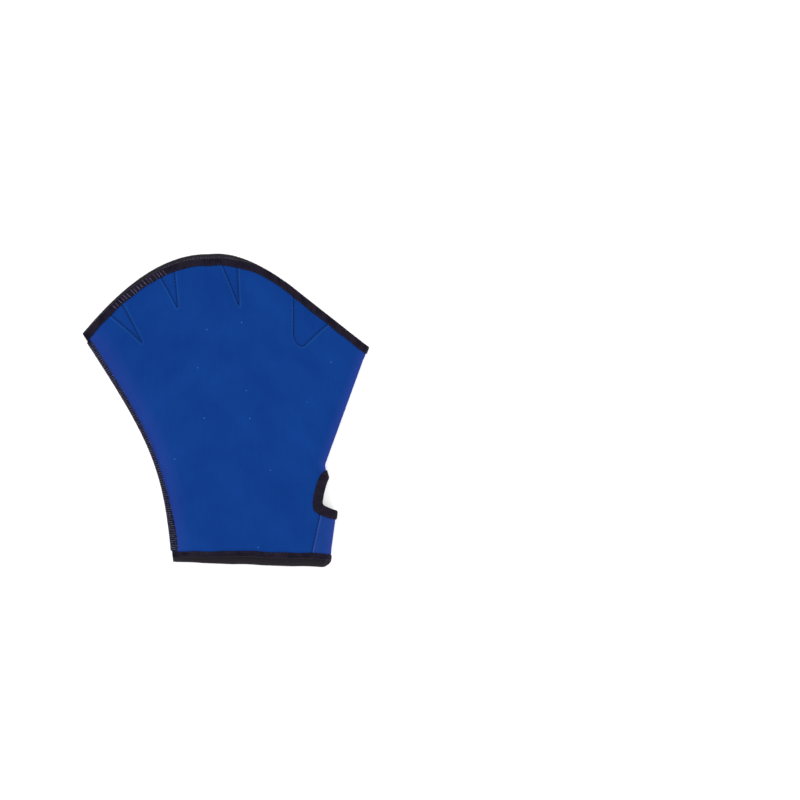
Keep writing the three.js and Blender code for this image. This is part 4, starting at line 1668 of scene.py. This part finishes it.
def neoprene(name, low, high):
    material, tree, shader = new_material(name, roughness=0.8, sheen=0.09, sheen_tint=JERSEY_SHEEN)
    place = add_node(tree, "UVMap", {"uv_map": "cloth"}).outputs["UV"]
    blue = jersey_blue(tree, place, low, high, SPECK_BLUE)
    tree.links.new(blue_with_painted_light(tree, blue), shader.inputs["Base Color"])
    knit = add_node(tree, "Math", {"operation": "MULTIPLY"})
    for n, (direction, period) in enumerate((("X", WALE), ("Y", COURSE))):
        bands = texture(tree, "TexWave", place, {"bands_direction": direction},
                        Scale=band_scale(period), Distortion=JERSEY_WAVER)
        tree.links.new(bands.outputs["Fac"], knit.inputs[n])
    add_bump(tree, shader, knit.outputs[0], strength=0.35, distance=JERSEY_BUMP)
    return material


blue_jersey = neoprene("blue_jersey", linear(3, 45, 112), linear(7, 54, 126))
gusset_jersey = neoprene("gusset_jersey", linear(14, 50, 118), linear(24, 58, 128))
web_jersey = neoprene("web_jersey", linear(6, 44, 108), linear(10, 52, 118))
print("jerseys:", blue_jersey.name, gusset_jersey.name, web_jersey.name)

# %% [markdown]
# The tape is worn a little lighter in patches. Its inside half has a colour of its own, which the
# sign of its flat map's second number tells apart; on the black tape it is lighter, painted light
# where the back layer's tape lies in the front layer's shade.

# %% Binding tape
RIB = 0.55
RIB_WAVER = 0.8
RIB_BUMP = 0.0001
WORN_SCALE = 0.25
WORN_FROM = 0.35
WORN_TO = 0.7
INSIDE_FROM = -0.4
INSIDE_TO = 0.6
TAPE_SHEEN = linear(190, 180, 205)


def stretch_tape(name, low, high, inside):
    material, tree, shader = new_material(name, roughness=0.75, sheen=0.04, sheen_tint=TAPE_SHEEN)
    place = add_node(tree, "UVMap", {"uv_map": "cloth"}).outputs["UV"]
    worn = texture(tree, "TexNoise", place, Scale=WORN_SCALE, Detail=4.0, Roughness=0.6)
    black = two_tones(tree, worn.outputs["Fac"], low, high, WORN_FROM, WORN_TO)
    half = texture(tree, "SeparateXYZ", place)
    # The inside half gets the third colour; on the black tape that colour is painted light.
    inner_half = add_node(tree, "MapRange", From_Min=INSIDE_FROM, From_Max=INSIDE_TO)
    tree.links.new(half.outputs["Y"], inner_half.inputs["Value"])
    both = laid_over(tree, inner_half.outputs["Result"], black, inside)
    tree.links.new(both, shader.inputs["Base Color"])
    ribs = texture(tree, "TexWave", place, {"bands_direction": "X"},
                   Scale=band_scale(RIB), Distortion=RIB_WAVER)
    add_bump(tree, shader, ribs.outputs["Fac"], strength=0.5, distance=RIB_BUMP)
    return material


# The black tape's third colour is lighter: painted light on the tape's inside half, where the back
# layer's tape shows in the front layer's shade.
black_tape = stretch_tape("black_tape", linear(15, 12, 27), linear(32, 26, 38), linear(44, 41, 47))
seam_tape = stretch_tape("seam_tape", linear(14, 11, 28), linear(26, 20, 46), linear(20, 16, 36))
print("tapes:", black_tape.name, seam_tape.name)

# %% [markdown]
# A thread is wound, so its colour and its bump come from one fine noise in the piece's own space.

# %% Threads
THREAD_SPECULAR = 0.15
THREAD_BUMP = 0.00005
TWIST = 900
OVERLOCK_TWIST_AND_GLINTS = 1300
TWIST_FROM = 0.35
TWIST_TO = 0.65


def thread(name, low, high, twist=TWIST):
    material, tree, shader = new_material(name, roughness=0.6, sheen=0.06, specular=THREAD_SPECULAR)
    place = add_node(tree, "TexCoord").outputs["Object"]
    wound = texture(tree, "TexNoise", place, Scale=twist, Detail=2.0)
    color = two_tones(tree, wound.outputs["Fac"], low, high, TWIST_FROM, TWIST_TO)
    tree.links.new(color, shader.inputs["Base Color"])
    add_bump(tree, shader, wound.outputs["Fac"], strength=0.4, distance=THREAD_BUMP)
    return material


black_thread = thread("black_thread", linear(16, 14, 26), linear(42, 40, 56))
blue_thread = thread("blue_thread", linear(8, 36, 96), linear(14, 50, 118))
# The light thread's pale colour is partly the thread's own and partly painted highlight on its ridges.
light_thread = thread("light_thread", linear(50, 46, 72), linear(108, 100, 134))
# On the overlock thread the pale end of the noise is partly the thread's twist and partly painted
# glints.
overlock_thread = thread("overlock_thread", linear(6, 7, 16), linear(88, 92, 116), OVERLOCK_TWIST_AND_GLINTS)
print("materials:", len(bpy.data.materials))

# %% [markdown]
# Each piece gets its finish and its place in the frame, and the node that it stands for is hidden.

# %% Pieces and their finishes
def settle(piece, material, slot, *nodes):
    piece.data.materials.clear()
    piece.data.materials.append(material)
    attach(piece, "root")
    if nodes:
        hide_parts(*nodes)


settle(glove_body, blue_jersey, "neoprene_body", "glove_body")
settle(wrist_gusset, gusset_jersey, "neoprene_gusset", "wrist_gusset")
settle(fan_tape, black_tape, "binding_tape", "fan_binding")
settle(cuff_tape, black_tape, "binding_tape", "cuff_binding")
settle(thumb_tape, black_tape, "binding_tape", "thumb_binding")
settle(side_strip, seam_tape, "overlock_thread", "side_seam")
for n, web in enumerate(webs):
    settle(web, web_jersey, "neoprene_web", f"finger_web_{n + 1}")
settle(seam_threads, overlock_thread, "overlock_thread")
settle(fan_streaks, light_thread, "overlock_thread")
for stitches in (fan_stitches, cuff_stitches, thumb_stitches):
    settle(stitches, black_thread, "overlock_thread")
for stitches in (web_stitches, gusset_stitches):
    settle(stitches, blue_thread, "overlock_thread")
print("black tape is on", black_tape.users, "pieces, blue thread on", blue_thread.users)

# %% [markdown]
# The length of a web is taken along its line, and the area of a cloth is that of one of its two faces.


def web_length(web):
    return float(travel(leg_points(web, WEB_STEP, WEB_TAPE_GAP) * leg_scale)[-1]) * MM


def one_face(piece):
    """Area of one face of a closed sheet, in square metres."""
    return sum(face.area for face in piece.data.polygons) / 2


for piece in (glove_body, wrist_gusset, fan_tape, cuff_tape, thumb_tape, side_strip, *webs):
    print(piece.name, "one face in square centimetres:", round(one_face(piece) * 1e4, 2))

# %% Lengths of the webs
for piece, web in zip(webs, WEBS):
    length = web_length(web)
print("sheets declared, the webs too:", 6 + len(webs))

# %% [markdown]
# The picture has a white ground with hardly a shadow, so the floor is a light table that glows a
# little, the sky is bright all round, and two wide soft lamps give just enough direction for the
# folds to read.

# %% Floor
FLOOR_SIZE = 6
FLOOR_GAP = 0.0003
FLOOR_GLOW = 0.3
FLOOR_GREY = (0.95, 0.95, 0.95, 1)
WHITE = (1, 1, 1, 1)

bpy.ops.object.select_all(action="DESELECT")
bpy.ops.mesh.primitive_plane_add(size=FLOOR_SIZE, location=(0, 0, -FLOOR_GAP))
floor = bpy.context.object
floor.name = "floor"
white, _, white_shader = new_material("floor_white", roughness=0.9, specular=0.1)
white_shader.inputs["Base Color"].default_value = FLOOR_GREY
white_shader.inputs["Emission Color"].default_value = WHITE
white_shader.inputs["Emission Strength"].default_value = FLOOR_GLOW
floor.data.materials.append(white)
print("floor", FLOOR_SIZE, "m wide, and", FLOOR_GAP / MM, "mm under the glove")

# %% Light
SKY_STRENGTH = 0.95
KEY = {"place": (-1.2, 1.1, 2.2), "power": 22, "size": 1.0}
FILL = {"place": (0.9, -0.5, 2.4), "power": 16, "size": 2.0}

scene = bpy.context.scene
scene.world = bpy.data.worlds.new("studio")
scene.world.use_nodes = True
sky = scene.world.node_tree.nodes["Background"]
sky.inputs["Color"].default_value = WHITE
sky.inputs["Strength"].default_value = SKY_STRENGTH


def soft_lamp(name, place, power, size):
    """A wide round lamp that looks at the glove."""
    bpy.ops.object.light_add(type="AREA", location=place)
    lamp = bpy.context.object
    lamp.name = name
    lamp.data.shape = "DISK"
    lamp.data.size = size
    lamp.data.energy = power
    aim = -np.array(place)
    tilt = math.atan2(math.hypot(aim[0], aim[1]), -aim[2])
    lamp.rotation_euler = (tilt, 0, math.atan2(aim[0], -aim[1]) + math.pi)


soft_lamp("key", **KEY)
soft_lamp("fill", **FILL)

scene.view_settings.view_transform = "Standard"
scene.view_settings.look = "None"
scene.view_settings.exposure = 0
scene.view_settings.gamma = 1
